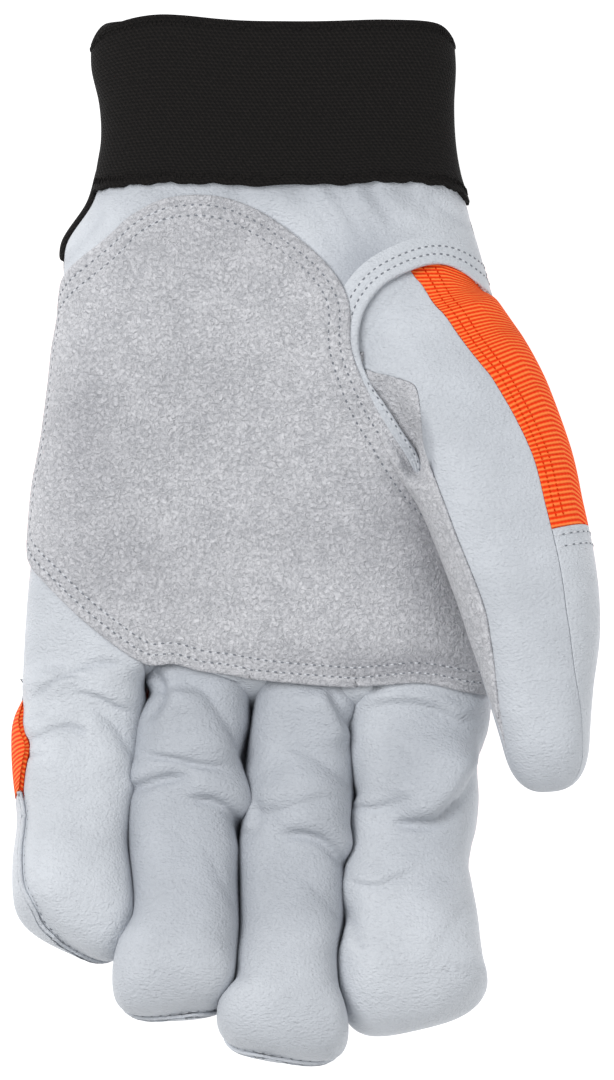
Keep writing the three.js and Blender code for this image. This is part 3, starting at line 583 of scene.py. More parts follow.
# %% A node, its settings and its links
COLOURS = {"data_type": "RGBA"}
SHADE = {"data_type": "RGBA", "blend_type": "MULTIPLY"}
SCALE_AND_ADD = {"operation": "MULTIPLY_ADD"}
RIDGES = {"wave_type": "BANDS", "bands_direction": "Y", "wave_profile": "SIN"}
COLUMNS = {"wave_type": "BANDS", "bands_direction": "X", "wave_profile": "SIN"}
# A wave texture's scale times the distance between two of its bands.
WAVE = 0.314


def linear(colour):
    """An sRGB hex colour as linear light: each part to the power 2.4, with the straight foot below 0.04."""
    c = np.array([int(colour[i : i + 2], 16) for i in (1, 3, 5)]) / 255
    c = np.where(c <= 0.04045, c / 12.92, ((c + 0.055) / 1.055) ** 2.4)
    return (float(c[0]), float(c[1]), float(c[2]), 1.0)


def add(tree, kind, settings, inputs):
    """Adds one node. Settings are its own choices, and an input is a value or another node's socket."""
    node = tree.nodes.new("ShaderNode" + kind)
    for key, value in settings.items():
        setattr(node, key, value)
    for key, value in inputs.items():
        if isinstance(value, bpy.types.NodeSocket):
            tree.links.new(value, node.inputs[key])
        else:
            node.inputs[key].default_value = value
    return node


def finish(name, **surface):
    """A new material, its node tree and its surface shader with the given constant values."""
    material = bpy.data.materials.new(name)
    material.use_nodes = True
    shader = material.node_tree.nodes["Principled BSDF"]
    for key, value in surface.items():
        shader.inputs[key.replace("_", " ")].default_value = value
    return material, material.node_tree, shader


# %% [markdown]
# ### Grain goatskin
# Drum-dyed goatskin keeps the skin's own pebbled grain, about 0.6 mm from cell to cell, with finer pores
# and faint creases across the stretch. The dye is a cool white; painted shade greys it at the bottom of the
# folds and over broad areas that lie darker in the light. Voronoi cells give the pebbles, and two noises
# give the creases and the slow change of tone.

# %% Grain goatskin
goatskin, tree, shader = finish("full grain goatskin drum dyed white", Roughness=0.5, IOR=1.46)
where = add(tree, "TexCoord", {}, {}).outputs["Object"]
pebbled = {"Vector": where, "Scale": 1 / 0.0006, "Smoothness": 0.6}
pebble = add(tree, "TexVoronoi", {"feature": "SMOOTH_F1"}, pebbled)
drawn = add(tree, "Mapping", {}, {"Vector": where, "Scale": (0.5, 1, 1)}).outputs[0]
pores = add(tree, "TexNoise", {}, {"Vector": drawn, "Scale": 1 / 0.00052, "Detail": 2, "Distortion": 0.4})
crease = add(tree, "TexNoise", {}, {"Vector": drawn, "Scale": 1 / 0.0034, "Detail": 3, "Distortion": 0.3})
slow = add(tree, "TexNoise", {}, {"Vector": where, "Scale": 1 / 0.016, "Detail": 2})
tone = add(tree, "MapRange", {}, {"Value": slow.outputs[0], "From Min": 0.3, "From Max": 0.7})
colour = add(tree, "Mix", COLOURS, {0: tone.outputs[0], 6: linear("#c1c5cb"), 7: linear("#cdd1d7")})
# The attribute named mark is painted shade: 1 at a fold's bottom and where light falls darker. It greys
# the grain.
mark = add(tree, "Attribute", {"attribute_name": "mark"}, {}).outputs["Fac"]
painted_shade_colour = add(tree, "Mix", SHADE, {0: mark, 6: colour.outputs[2], 7: linear("#a9adb5")})
tree.links.new(painted_shade_colour.outputs[2], shader.inputs["Base Color"])
# Each relief lies on the one before it: its source, its depth in metres and its strength.
under = {}
for source, depth_m, strength in ((pebble, 0.0002, 0.8), (pores, 0.0004, 0.75), (crease, 0.0006, 0.5)):
    settings = {"Height": source.outputs[0], "Distance": depth_m, "Strength": strength}
    under = {"Normal": add(tree, "Bump", {}, {**settings, **under}).outputs[0]}
tree.links.new(under["Normal"], shader.inputs["Normal"])

# %% [markdown]
# ### Split suede
# A split is the underside of a hide with its fibres brushed up. The nap lies in tufts about 0.8 mm long
# that lean every way, so it looks like pale and dark strokes with no gloss. The tufts come from a distorted
# noise, and a second, larger one gathers them into patches.

# %% Split suede
brushed_up = {"Roughness": 0.96, "IOR": 1.4, "Sheen_Weight": 0.25, "Sheen_Roughness": 0.6}
suede, tree, shader = finish("split cowhide suede brushed", **brushed_up)
where = add(tree, "TexCoord", {}, {}).outputs["Object"]
tufted = {"Vector": where, "Scale": 1 / 0.0008, "Detail": 2, "Roughness": 0.7, "Distortion": 0.8}
tufts = add(tree, "TexNoise", {}, tufted)
patches = add(tree, "TexNoise", {}, {"Vector": where, "Scale": 1 / 0.009, "Detail": 2})
both = add(tree, "Math", SCALE_AND_ADD, {0: patches.outputs[0], 1: 0.2, 2: tufts.outputs[0]})
tone = add(tree, "MapRange", {}, {"Value": both.outputs[0], "From Min": 0.44, "From Max": 0.76})
colour = add(tree, "Mix", COLOURS, {0: tone.outputs[0], 6: linear("#adaeb3"), 7: linear("#dadade")})
# On the patch, mark is painted shade with some nap tone: 1 where the nap lies darker in the light, mostly
# towards the patch's sides and its lower edge.
mark = add(tree, "Attribute", {"attribute_name": "mark"}, {}).outputs["Fac"]
brushed = add(tree, "Mix", SHADE, {0: mark, 6: colour.outputs[2], 7: linear("#bcbcc0")})
tree.links.new(brushed.outputs[2], shader.inputs["Base Color"])
napped = add(tree, "Bump", {}, {"Height": tufts.outputs[0], "Distance": 0.0008, "Strength": 1.0})
tree.links.new(napped.outputs[0], shader.inputs["Normal"])

# %% [markdown]
# ### Ribbed stretch fabric
# The backs are a polyester and elastane knit with cords across the finger every 1.3 mm. Each cord catches
# the light on its crown, painted as a paler orange, and the valley between two has painted shade, a deeper
# red-orange. A sine along the uv makes the cords, and a second one across them makes the columns of
# knitted loops.

# %% Ribbed stretch fabric
# The emission in these settings is a painted glow for the fluorescent dye.
dull = {"Roughness": 0.9, "Specular_IOR_Level": 0.2, "Emission_Strength": 0.14}
stretch, tree, shader = finish("ribbed polyester stretch knit orange", **dull)
# The dye is fluorescent, and a painted glow stands for it: orange emission, the same under any light.
shader.inputs["Emission Color"].default_value = linear("#ff4a10")
where = add(tree, "UVMap", {"uv_map": "mm"}, {}).outputs[0]
wobble = add(tree, "TexNoise", {}, {"Vector": where, "Scale": 1 / 0.012, "Detail": 1}).outputs[1]
bent = add(tree, "VectorMath", SCALE_AND_ADD, {0: wobble, 1: (0.0005, 0.0009, 0), 2: where})
ribs = add(tree, "TexWave", RIDGES, {"Vector": bent.outputs[0], "Scale": WAVE / 0.00127})
loops = add(tree, "TexWave", COLUMNS, {"Vector": bent.outputs[0], "Scale": WAVE / 0.0011})
knit = add(tree, "Math", SCALE_AND_ADD, {0: loops.outputs[1], 1: 0.12, 2: ribs.outputs[1]})
tone = add(tree, "MapRange", {}, {"Value": knit.outputs[0], "From Min": 0.15, "From Max": 1})
# Painted highlight on the crowns of the cords and painted shade in the valleys, from the rib wave.
colour = add(tree, "Mix", COLOURS, {0: tone.outputs[0], 6: linear("#e82c02"), 7: linear("#ff8a44")})
tree.links.new(colour.outputs[2], shader.inputs["Base Color"])
ribbed = add(tree, "Bump", {}, {"Height": knit.outputs[0], "Distance": 0.0004, "Strength": 0.8})
tree.links.new(ribbed.outputs[0], shader.inputs["Normal"])

# %% [markdown]
# ### Woven elastic
# The cuff is a wide woven elastic. Its covered rubber threads run round the wrist, and the weft crosses
# them as a fine twill, which shows as ridges about 1 mm apart broken into short slanting stitches.

# %% Woven elastic
elastic, tree, shader = finish("woven elastic webbing black", Roughness=0.92, IOR=1.35)
where = add(tree, "UVMap", {"uv_map": "mm"}, {}).outputs[0]
slanted = add(tree, "Mapping", {}, {"Vector": where, "Rotation": (0, 0, 0.5)}).outputs[0]
broken = {"Scale": WAVE / 0.0009, "Detail": 1, "Detail Scale": 6}
ridges = add(tree, "TexWave", RIDGES, {"Vector": where, "Distortion": 1.6, **broken})
twill = add(tree, "TexWave", COLUMNS, {"Vector": slanted, "Distortion": 0.8, **broken})
woven = add(tree, "Math", SCALE_AND_ADD, {0: twill.outputs[1], 1: 1.1, 2: ridges.outputs[1]})
lint = add(tree, "TexNoise", {}, {"Vector": where, "Scale": 1 / 0.0008, "Detail": 2})
mixed = add(tree, "Math", {"operation": "MULTIPLY"}, {0: woven.outputs[0], 1: lint.outputs[0]})
tone = add(tree, "MapRange", {}, {"Value": mixed.outputs[0], "From Min": 0.1, "From Max": 1.5})
colour = add(tree, "Mix", COLOURS, {0: tone.outputs[0], 6: linear("#060505"), 7: linear("#231f1d")})
tree.links.new(colour.outputs[2], shader.inputs["Base Color"])
raised = add(tree, "Bump", {}, {"Height": woven.outputs[0], "Distance": 0.0003, "Strength": 0.7})
tree.links.new(raised.outputs[0], shader.inputs["Normal"])

# %% [markdown]
# ### Sewing thread and needle holes
# The seams are lock stitches of bonded polyester thread, 0.3 to 0.5 mm thick with a slight gloss. Where the
# thread dives, the shade in the needle hole is painted on a small dark bead. A fine noise stands for the
# twist and the frayed edge.

# %% Thread and needle holes
# Each one's roughness, specular level, size of its noise in metres, and darkest and palest colours.
THREAD_FINISHES = [
    ("bonded polyester thread white", 0.45, 0.5, 0.0004, "#c2c5cb", "#dfe1e5"),
    ("bonded polyester thread orange", 0.9, 0.1, 0.0004, "#d22a00", "#e63c08"),
    # The needle holes' finish is painted shade: dark grey where there is only the hole's shadow.
    ("painted shade in needle holes", 0.9, 0.5, 0.0005, "#666a70", "#8c9097"),
]
made = []
for name, rough, level, grain_m, dark, pale in THREAD_FINISHES:
    material, tree, shader = finish(name, Roughness=rough, Specular_IOR_Level=level)
    where = add(tree, "TexCoord", {}, {}).outputs["Object"]
    grain = add(tree, "TexNoise", {}, {"Vector": where, "Scale": 1 / grain_m, "Detail": 1})
    colour = add(tree, "Mix", COLOURS, {0: grain.outputs[0], 6: linear(dark), 7: linear(pale)})
    tree.links.new(colour.outputs[2], shader.inputs["Base Color"])
    made.append(material)
thread, orange_thread, holes = made
# Each cloth's finish and a slot name.
GRAIN = (goatskin, "grain_leather")
SPLIT = (suede, "split_leather")
KNIT = (stretch, "orange_fabric")
BLACK = (elastic, "black_elastic")
print("finishes:", [m.name for m in bpy.data.materials])

# %% [markdown]
# ## Folds
# Leather that has bent at a joint keeps a crease there with a soft roll on either side. Each fold is a line
# seen from above, with a depth and a width in mm. The points near it are pushed in by a bell curve across
# the line, and the rolls beside it are pushed out by a wider one.


# %% Folds across the fingers, the palm and the thumb
def roll_over(sheet, rolls):
    """Rolls of leather beside a crease. On the left of each line as it runs, the sheet rises by the height
    over the radius, nearly as a quarter circle does, and sinks back over the run. Its right side keeps its
    place. Everything stays flat under the patch."""
    flat = sheet["points"][:, :2]
    amount = np.zeros(len(flat))
    for height, radius, run, line in rolls:
        d, share, left = reach(flat, smooth_line(line, step=0.7))
        fade = ease(np.minimum(share, 1 - share) / 0.3)
        t = np.clip(d / radius, 0, 1)
        rise = (2 * t - t * t) ** 0.8 * bell(np.maximum(d - radius, 0), run)
        amount += height * fade * np.where(left, rise, -0.25 * bell(d, 1.2) * t)
    upward = 0.2 + 0.8 * ease(np.clip(normals(sheet)[:, 2], 0, 1) / 0.6)
    return push(sheet, amount * upward * ease((-33 - flat[:, 1]) / 4))


# Each roll's height, radius and run in mm, and its crease from one end to the other.
ROLLS = {
    "little": [
        (1.4, 3.5, 6, [(-39.5, -55), (-42.4, -48.6), (-45.2, -43.8), (-49, -40.4), (-53, -39)]),
        (0.8, 2.5, 4, [(-68, -47.6), (-63, -46.2), (-60, -44.7), (-57, -44.2), (-54, -44.5), (-51, -46),
            (-48.6, -49)]),
        (0.7, 2.5, 4, [(-55.5, -35.6), (-50, -36.6), (-47, -38), (-44.3, -39.5), (-39, -40.6)]),
    ],
    "ring": [
        (2.6, 4.5, 7, [(-15, -53.5), (-16.8, -49.5), (-18.4, -45.2), (-20.8, -40.6), (-24, -36),
            (-28, -32), (-32, -28)]),
        (1.8, 4, 5, [(-40.5, -49.6), (-34.5, -50.9), (-30, -51.7), (-25.5, -52.8), (-20, -53.4),
            (-14, -54)]),
        (1.8, 3.2, 4, [(-45, -60.2), (-41, -58.4), (-38, -57.5), (-34.5, -56.2), (-30, -55.6),
            (-25, -55.4)]),
        (2.9, 3.6, 6, [(-31, -60.8), (-27, -60.7), (-23.5, -61), (-20.5, -62), (-18.3, -63.7),
            (-16, -65.6), (-12, -69)]),
        (1.2, 6, 8, [(-13, -92), (-18, -84), (-22, -76), (-25, -68)]),
    ],
    "middle": [
        (1.9, 3, 5, [(12, -48), (10.2, -44.5), (8.6, -41), (7, -38), (5.6, -35.5), (4.6, -32)]),
        (1.6, 5, 6, [(14, -61), (10.3, -58.3), (6, -55), (2, -51.8), (-3, -49), (-7, -47.5)]),
        (1.7, 4, 5, [(-17, -61), (-12, -63.4), (-8, -63.8), (-4, -63), (0, -61.8), (5, -60.6),
            (12, -59.6)]),
        (0.9, 1.5, 1.5, [(-16, -69.4), (-12.9, -68.6), (-11.6, -65.5), (-11.8, -62.5), (-12.8, -59.5)]),
        (2.9, 3.4, 6, [(-9, -69.6), (-5, -69), (-1, -69.1), (2.5, -70), (5, -71.8), (7, -74),
            (8.8, -76.4), (10.5, -80)]),
        (1.3, 6, 8, [(12, -94), (7, -88), (2, -82), (-4, -77)]),
    ],
    "index": [
        (1.3, 2.4, 1.5, [(8, -44), (12, -41.5), (15, -39.4), (20, -38.3), (25, -38.3), (29, -39.2),
            (33, -41.2),
                         (36.5, -42.2), (41, -41), (45, -38.6)]),
        (4.6, 3.6, 10, [(17, -66), (21, -66.4), (25, -66.6), (29, -66.4), (31.5, -65.2), (34, -62.6),
            (36.4, -59),
                       (38.4, -55), (40.4, -50.6), (43, -45)]),
        (1.5, 3.6, 5, [(8, -61.5), (11, -62.5), (14, -63), (17.5, -62.7), (21, -61.5), (25, -59.8),
            (29, -57)]),
        (0.7, 2, 4, [(8, -79.4), (11.5, -80.2), (14.5, -81), (18, -80.6), (21.5, -79), (26, -77),
            (29, -75)]),
        (0.9, 3, 5, [(14.5, -98), (12.7, -94.5), (11, -90.5), (9.5, -87), (7, -83)]),
        (0.9, 4, 6, [(28, -99), (32, -93), (36, -87), (39, -82)]),
    ],
}


def press(sheet, folds):
    """Pushes the sheet in by the depth times exp(-(d/width)^2), and out by the roll times a bell 2.2 widths
    away. On the right of the line as it runs, the bell is slack times as wide, so that the left side hangs
    over it. The bottom of each fold gets painted shade, which the finish darkens as a crease in shadow.
    Where the sheet turns away to the side, the pushes shrink to a third, so that the outline from above
    stays."""
    flat = sheet["points"][:, :2]
    upward = 0.33 + 0.67 * ease(np.clip(normals(sheet)[:, 2], 0, 1) / 0.7)
    amount = np.zeros(len(flat))
    mark = np.zeros(len(flat))
    for depth, width, roll, slack, line in folds:
        d, share, left = reach(flat, smooth_line(line, step=1.0))
        width = 1.3 * width
        fade = ease(np.minimum(share, 1 - share) / 0.2 + 0.1)
        toward = ease(0.5 + np.where(left, d, -d) / (2 * width))
        wide = width * (slack + (1 - slack) * toward)
        rolls = bell(d - 2.2 * width, 1.4 * width) * (1 / slack + (1 - 1 / slack) * toward)
        amount += fade * (roll * rolls - depth * bell(d, wide))
        # Painted shade along the bottom of each fold, where the crease lies in shadow.
        deepest = 0.55 * min(depth, 1.2) / 1.2 * min(1.6 / width, 1) ** 2
        mark = np.maximum(mark, fade * deepest * bell(d, 0.5 * width))
    return {**push(sheet, amount * upward), "mark": mark}


def areas(sheet, spots):
    """Soft areas of painted shade: a sum of bells in x and y, each with its reach and its strength, kept
    under 1.
    """
    x, y = sheet["points"][:, 0], sheet["points"][:, 1]
    return np.minimum(sum(s * bell(x - a, p) * bell(y - b, q) for a, b, p, q, s in spots), 1)


FOLDS = {
    "palm": [
        (0.5, 1.6, 0.3, 1.5, [(-60, 63), (-54, 68.5), (-49, 74.5), (-47, 80)]),
        (0.5, 1.4, 0.4, 1.6, [(28, 82), (31, 78), (36.5, 74.5), (41, 73)]),
        (0.5, 1.4, 0.3, 1.5, [(-47, 82.5), (-30, 84), (-10, 83.2), (8, 83.4), (28, 82)]),
        (0.4, 1.5, 0.3, 1.6, [(-20, 85), (-10.5, 77.1), (0.5, 69)]),
        (0.35, 1.2, 0.3, 1.5, [(-6, 86), (2.2, 77.1), (8.5, 68)]),
        (0.28, 1.1, 0.3, 1.5, [(4, 86), (9, 78.4), (13.5, 71)]),
        (0.35, 1, 0.25, 1.5, [(13.4, 86), (17.1, 79.4), (21.2, 73.6)]),
        (0.3, 1.2, 0.2, 1.5, [(22.4, 85.6), (26.1, 79.4), (30, 75)]),
        (0.25, 0.7, 0.1, 1.5, [(-1, 84), (4.2, 77.1), (8, 72)]),
        (0.25, 0.7, 0.1, 1.5, [(8.4, 84), (12.4, 78.1), (17, 72.4)]),
        (0.4, 2.2, 0.2, 1.5, [(-45.7, 79), (-36.8, 81.3), (-27.4, 82.2)]),
    ],
    "little": [
        (0.5, 0.6, 0.1, 1.2, [(-65, -38), (-60.4, -34.1), (-57, -31.6), (-53, -30), (-48, -28.8),
            (-42, -29.4)]),
        (0.4, 0.5, 0.1, 1.2, [(-60.5, -33.6), (-57.5, -32), (-55, -31.6), (-52.5, -32.4), (-50.5, -34)]),
        (0.4, 0.5, 0.1, 1.2, [(-55, -35.9), (-50, -36.6), (-47, -38), (-44.3, -39.5), (-41, -40.4)]),
        (0.35, 0.55, 0.1, 1.2, [(-66, -47.2), (-62.5, -46), (-60, -44.8), (-57, -44.3), (-54, -44.6),
            (-50.4, -46.6)]),
        (0.25, 0.5, 0.1, 1.2, [(-58, -44), (-55.5, -43.4), (-53.3, -44), (-51.6, -45.2)]),
        (0.3, 0.5, 0.1, 1.2, [(-66, -51), (-63.6, -50.5), (-61.2, -50.2)]),
        (0.25, 0.5, 0.1, 1.2, [(-66, -42.4), (-63.5, -41.6), (-60.5, -40.2)]),
    ],
    "ring": [
        (1.5, 1, 0.5, 1.4, [(-37.4, -30), (-35.4, -32), (-34.3, -34.4), (-34.2, -37), (-36.2, -40),
            (-38, -43)]),
        (0.6, 0.5, 0.1, 1.2, [(-39, -49.9), (-34.5, -50.9), (-30, -51.7), (-25.5, -52.8), (-18, -53.8)]),
        (0.9, 0.8, 0.1, 1.2, [(-44, -60), (-40.5, -58.3), (-37.4, -57.3), (-34, -56.2), (-29, -55.6)]),
        (0.7, 0.7, 0.1, 1.2, [(-27, -60.8), (-23, -61.1), (-20.4, -62), (-18.2, -63.8), (-15, -66.6)]),
    ],
    "middle": [
        (0.8, 0.8, 0.1, 1.2, [(11, -46.5), (9.6, -43.2), (8, -40), (6.4, -37), (5.2, -34.6)]),
        (0.2, 0.5, 0.1, 1.2, [(-5.3, -49.3), (-2, -48.8), (1.5, -48.9)]),
        (0.5, 0.6, 0.1, 1.2, [(-15.4, -69.3), (-12.9, -68.6), (-11.6, -65.5), (-11.8, -62.5),
            (-12.6, -60)]),
        (0.7, 0.7, 0.1, 1.2, [(-5, -69), (-1, -69.1), (2.5, -70), (5, -71.8), (7, -74), (9.4, -77.6)]),
    ],
    "index": [
        (0.5, 0.5, 0.1, 1.2, [(38.8, -36.4), (40.6, -36.3), (43.5, -36.4)]),
        (0.9, 0.8, 0.1, 1.2, [(20, -66.4), (24, -66.7), (29, -66.5), (31.5, -65.3), (34, -62.7),
            (36.4, -59)]),
        (0.3, 0.6, 0.1, 1.2, [(9, -61.9), (12, -62.8), (15.4, -63), (19, -62.2)]),
        (0.4, 0.5, 0.1, 1.2, [(9.4, -79.4), (12.4, -80.6), (16, -81.1), (20.5, -79.5), (25, -77.3)]),
        (0.4, 0.7, 0.1, 1.2, [(13.6, -96.5), (12, -92.8), (10.4, -89), (8.6, -85.6)]),
        (0.2, 0.6, 0.1, 1.2, [(33, -98.4), (37, -101), (41.5, -105.4)]),
    ],
    "thumb": [
        (0.45, 2, 0.3, 1.5, [(14, 52.2), (22, 55), (30.4, 55.5), (36.5, 52.6)]),
        (0.45, 2.2, 0.3, 1.5, [(13.5, 45.6), (24.3, 48.6), (35.6, 46.8)]),
        (0.3, 1.6, 0.2, 1.5, [(14.5, 42.3), (24.3, 43.5), (34.2, 41.4)]),
    ],
}
print("folds:", {name: len(lines) for name, lines in FOLDS.items()})

# %% [markdown]
# ## Rows of stitches
# A lock stitch shows as a short arch of thread and then a needle hole, again and again, about 2 mm apart.
# Both are small ellipsoids of 32 faces laid along the seam line, so that hundreds of them stay light; the
# hole's one carries painted shade.


# %% Beads along a line
def beads(line, facing, pitch, size, start=0.0):
    """An ellipsoid (length, width, height) at every pitch along a line, its length along the line."""
    walked = walked_along(line)
    places = np.arange(start * pitch, walked[-1] - 0.3 * pitch, pitch)
    centre, up = (places_on(v, walked, places) for v in (line, facing))
    along = unit(places_on(line, walked, places + 0.2) - places_on(line, walked, places - 0.2))
    up = unit(up - along * np.sum(up * along, axis=1, keepdims=True))
    side = np.cross(up, along)
    a = np.linspace(0, np.pi, 5)[:, None]
    b = np.linspace(0, 2 * np.pi, 9)[None, :]
    local = [np.cos(a) * np.ones_like(b), np.sin(a) * np.cos(b), np.sin(a) * np.sin(b)]
    axes = [along, side, up]
    points = centre[:, None, None, :] + sum(
        0.5 * size[k] * local[k][None, ..., None] * axes[k][:, None, None, :] for k in range(3)
    )
    many = (quads(5, 9)[None] + 45 * np.arange(len(places))[:, None, None]).reshape(-1, 4)
    flat = points.reshape(-1, 3)
    return {"points": flat, "faces": many, "uv": flat[:, :2]}


# How deep the thread is pulled into the leather, in mm.
THREAD_SINK = 0.12
THREADS = []
HOLE_SHADE_BEADS = []


def stitch(line, facing, pitch, thick, hole=0.8, raised=0.0):
    """One row: threads, and a dark bead of painted hole shade between each two, gathered as two pieces."""
    up = unit(facing)
    THREADS.append(beads(line - up * THREAD_SINK, up, pitch, (pitch * 0.68, thick, thick * 1.15)))
    HOLE_SHADE_BEADS.append(beads(line + up * raised, up, pitch, (hole, thick, 0.3), start=0.5))


# %% A cord along a line
def piping(line, facing, wide, tall):
    """A tube with an oval section along a line, drawn in to a point at both ends."""
    along = unit(np.gradient(line, axis=0))
    up = unit(facing - along * np.sum(facing * along, axis=1, keepdims=True))
    side = np.cross(up, along)
    run = np.linspace(0, 1, len(line))
    full = np.clip(np.minimum(run, 1 - run) * 14, 0, 1)
    full = np.sqrt(full * (2 - full))[:, None, None]
    turn = np.linspace(0, 2 * np.pi, 17)[None, :, None]
    oval = wide / 2 * np.cos(turn) * side[:, None] + tall / 2 * np.sin(turn) * up[:, None]
    return sew(net(line[:, None] + full * oval))


# %% Lines on the palm and on a tube
def on_palm(places):
    """Points on the palm over places (x, y), with the way that the palm faces there."""
    x, y = np.asarray(places, dtype=float).T
    hand = hand_at(y)
    spread = np.clip((x - hand["middle"]) / hand["half"], -0.9995, 0.9995)
    return raise_palm(spread, y, 0.0, 1.0)


def raise_palm(spread, y, lift, web):
    """The palm's point, raised by the lift, and its facing: two small steps on it, crossed."""
    low, high = np.clip(spread - 1e-3, -1, 1), np.clip(spread + 1e-3, -1, 1)
    across = hand_point("palm", high, y, web) - hand_point("palm", low, y, web)
    along = hand_point("palm", spread, y - 0.15, web) - hand_point("palm", spread, y + 0.15, web)
    facing = unit(np.cross(along, across))
    return hand_point("palm", spread, y, web) + facing * np.asarray(lift)[..., None], facing


def on_tube(rows, tip, length, y, degrees, lift=0.0):
    """Points on a tube at y and an angle round it, raised along the way that it faces, with that way."""
    turn = np.radians(degrees)
    across = tube_point(rows, tip, length, y, turn + 0.01) - tube_point(rows, tip, length, y, turn - 0.01)
    along = tube_point(rows, tip, length, y - 0.15, turn) - tube_point(rows, tip, length, y + 0.15, turn)
    facing = unit(np.cross(along, across))
    return tube_point(rows, tip, length, y, turn) + facing * np.asarray(lift)[..., None], facing


def cap_rows(tube, start, around, pitch):
    """Two rows of stitches round a tube over the given angles, 1.6 and 4 mm below where its cap starts."""
    for below in (1.6, 4.0):
        line, facing = on_tube(*tube, np.full(len(around), start - below), around, 0.1)
        stitch(line, facing, pitch, 0.4)


# %% [markdown]
# ## The palm side
# One skin runs from the wrist over the palm and on up the index and little fingers. The ring and middle
# fingers have fronts of their own, sewn on under the patch. Each finger's front is half a tube, and the
# hand is four strips side by side, so the nets share their edges and sew into one sheet.

# %% Grids for the hand's strips and the fingers' halves
# The distance between a net's points on the palm and the back, and on the fingers' fronts, in mm.
STEP = 0.8
FRONT_STEP = 0.5
# How many points a row is worked out at before they are spread evenly.
DENSE = 161
# The front wraps over the tip and meets the back behind it, this far into the tip, where 1 is the very end.
TIP_MEET = {"little": 0.94, "ring": 0.95, "middle": 0.95, "index": 0.45}
# The angle behind the tip where a finger's two side seams run into each other.
SEAMS_CLOSE = {"little": -125, "ring": -210, "middle": -150, "index": -180}
# Where the palm leather ends over the ring and middle fingers, whose fronts come out from under it.
PALM_END = table(
    "x y",
    (-38.9, -35), (-38.3, -30.6), (-36, -28.2), (-31.4, -28.3), (-23.4, -31.7), (-18, -33.5),
    (-14.2, -34.3), (-10.9, -33.6), (2.5, -33.8), (9.6, -34.8), (11, -35),
)
# Where those two fronts start under it, and where the palm's rows start to be drawn up to its end.
FRONT_START = {"ring": -26.0, "middle": -29.0}
DRAWN_FROM = -24


def hand_strip(side, finger, y, shares):
    """One finger's strip of the hand, with its points spread evenly by the given shares of the way across.
    On the palm side of the ring and middle fingers the last rows are drawn up to where the leather ends."""
    span = (1 - np.cos(np.linspace(0, np.pi, DENSE))) / 2
    spread = 2 * (SHARES[finger] + (SHARES[finger + 1] - SHARES[finger]) * span) - 1
    spread, y = np.broadcast_arrays(spread[None, :], np.asarray(y)[:, None])
    if side == "palm" and finger in (1, 2):
        hand = hand_at(-33.0)
        end = at(PALM_END, hand["middle"] + hand["half"] * spread[0])["y"]
        drawn = DRAWN_FROM + (y - DRAWN_FROM) * (end[None, :] - DRAWN_FROM) / (CROTCH - DRAWN_FROM)
        y = np.where(y > DRAWN_FROM, y, drawn)
    return even(hand_point(side, spread, y), shares)


# The angles of each finger's two side seams, from straight up.
SIDE_SEAMS = {
    "little": table(
        "y low high",
        (-35, 90, 90), (-38.5, 88, 112), (-43, 78, 122), (-47.5, 68, 126), (-50.8, 60, 127),
        (-54.5, 68, 127), (-58, 79, 128), (-61, 87, 128), (-66, 80, 127), (-71, 76, 127), (-86, 75, 124),
    ),
    "ring": table("y low high", (-35, 112, 112), (-42, 128, 128), (-100, 126, 126)),
    "middle": table("y low high", (-35, 112, 112), (-42, 128, 128), (-110, 126, 126)),
    "index": table("y low high", (-35, 90, 90), (-42, 128, 132), (-105, 126, 126)),
}


def side_seams(name, y):
    """The angles of a finger's side seams, towards the little finger and the thumb. They meet at the
    tip."""
    seams = at(SIDE_SEAMS[name], y)
    into = into_tip(TIPS[name], TIP_LENGTH, y)
    open_by = np.sqrt(np.clip(1 - (into / TIP_MEET[name]) ** 4, 0, 1))
    low_end = SEAMS_CLOSE[name]
    high_end = low_end + 360
    return low_end - (low_end + seams["low"]) * open_by, high_end - (high_end - seams["high"]) * open_by


def finger_half(side, name, y, shares):
    """The part of a finger's tube in front of its two side seams, or the part behind them, at each y."""
    low, high = (seam[:, None] for seam in side_seams(name, y))
    t = np.linspace(0, 1, DENSE)[None, :]
    turn = low + (high - low) * t if side == "palm" else low + 360 + (high - low - 360) * t
    dense = tube_point(TUBES[name], TIPS[name], TIP_LENGTH, np.asarray(y)[:, None], np.radians(turn))
    return even(dense, shares)


# The width over its curve of each finger's strip, in mm, from the little finger.
STRIP_WIDTHS = [38, 28, 30, 38]


def across_shares(finger, edges, step=STEP):
    """Shares across a finger's strip, closer at the edges that are sewn."""
    width = STRIP_WIDTHS[finger]
    return spaced(0, width, step, edges) / width


def finger_rows(name, start, whole=False, step=STEP):
    """Places down a finger from a start to where its front meets the back, or on to the very tip."""
    tip, meet = TIPS[name], TIP_MEET[name]
    body = spaced(start, tip + TIP_LENGTH, step, (True, False))
    into = meet * np.sin(np.linspace(0, np.pi / 2, 18))
    if whole:
        into = np.concatenate([into, np.sin(np.linspace(np.arcsin(meet), np.pi / 2, 9)[1:])])
    return np.concatenate([body[:-1], tip + TIP_LENGTH * (1 - into)])


# %% The palm leather with the index and little fronts
# Places down the palm, closer together where its leather ends over the fingers.
HAND_ROWS = np.concatenate([spaced(88, -26, 0.65, (True, False)), np.linspace(-26, CROTCH, 24)[1:]])
# The outline of the opening that the thumb comes out of.
OPENING = smooth_line(
    [
        (70, 42), (51.5, 47), (44, 56.5), (37, 63.5), (29, 66.8), (20.5, 64.6), (14.4, 59), (12.2, 50),
        (13, 40), (16.4, 34), (21.4, 26.4), (25.6, 17.6), (30, 9.4), (36, 0), (70, -6),
    ],
    closed=True,
)


def inside(points, outline):
    """Whether each point is inside an outline: a ray from it then crosses it an odd number of times."""
    x, y = points.T
    crossed = np.zeros(len(points), dtype=bool)
    for (ax, ay), (bx, by) in zip(outline, np.roll(outline, -1, axis=0)):
        between = (ay > y) != (by > y)
        crossed ^= between & (x < ax + (y - ay) * (bx - ax) / (by - ay + 1e-12))
    return crossed


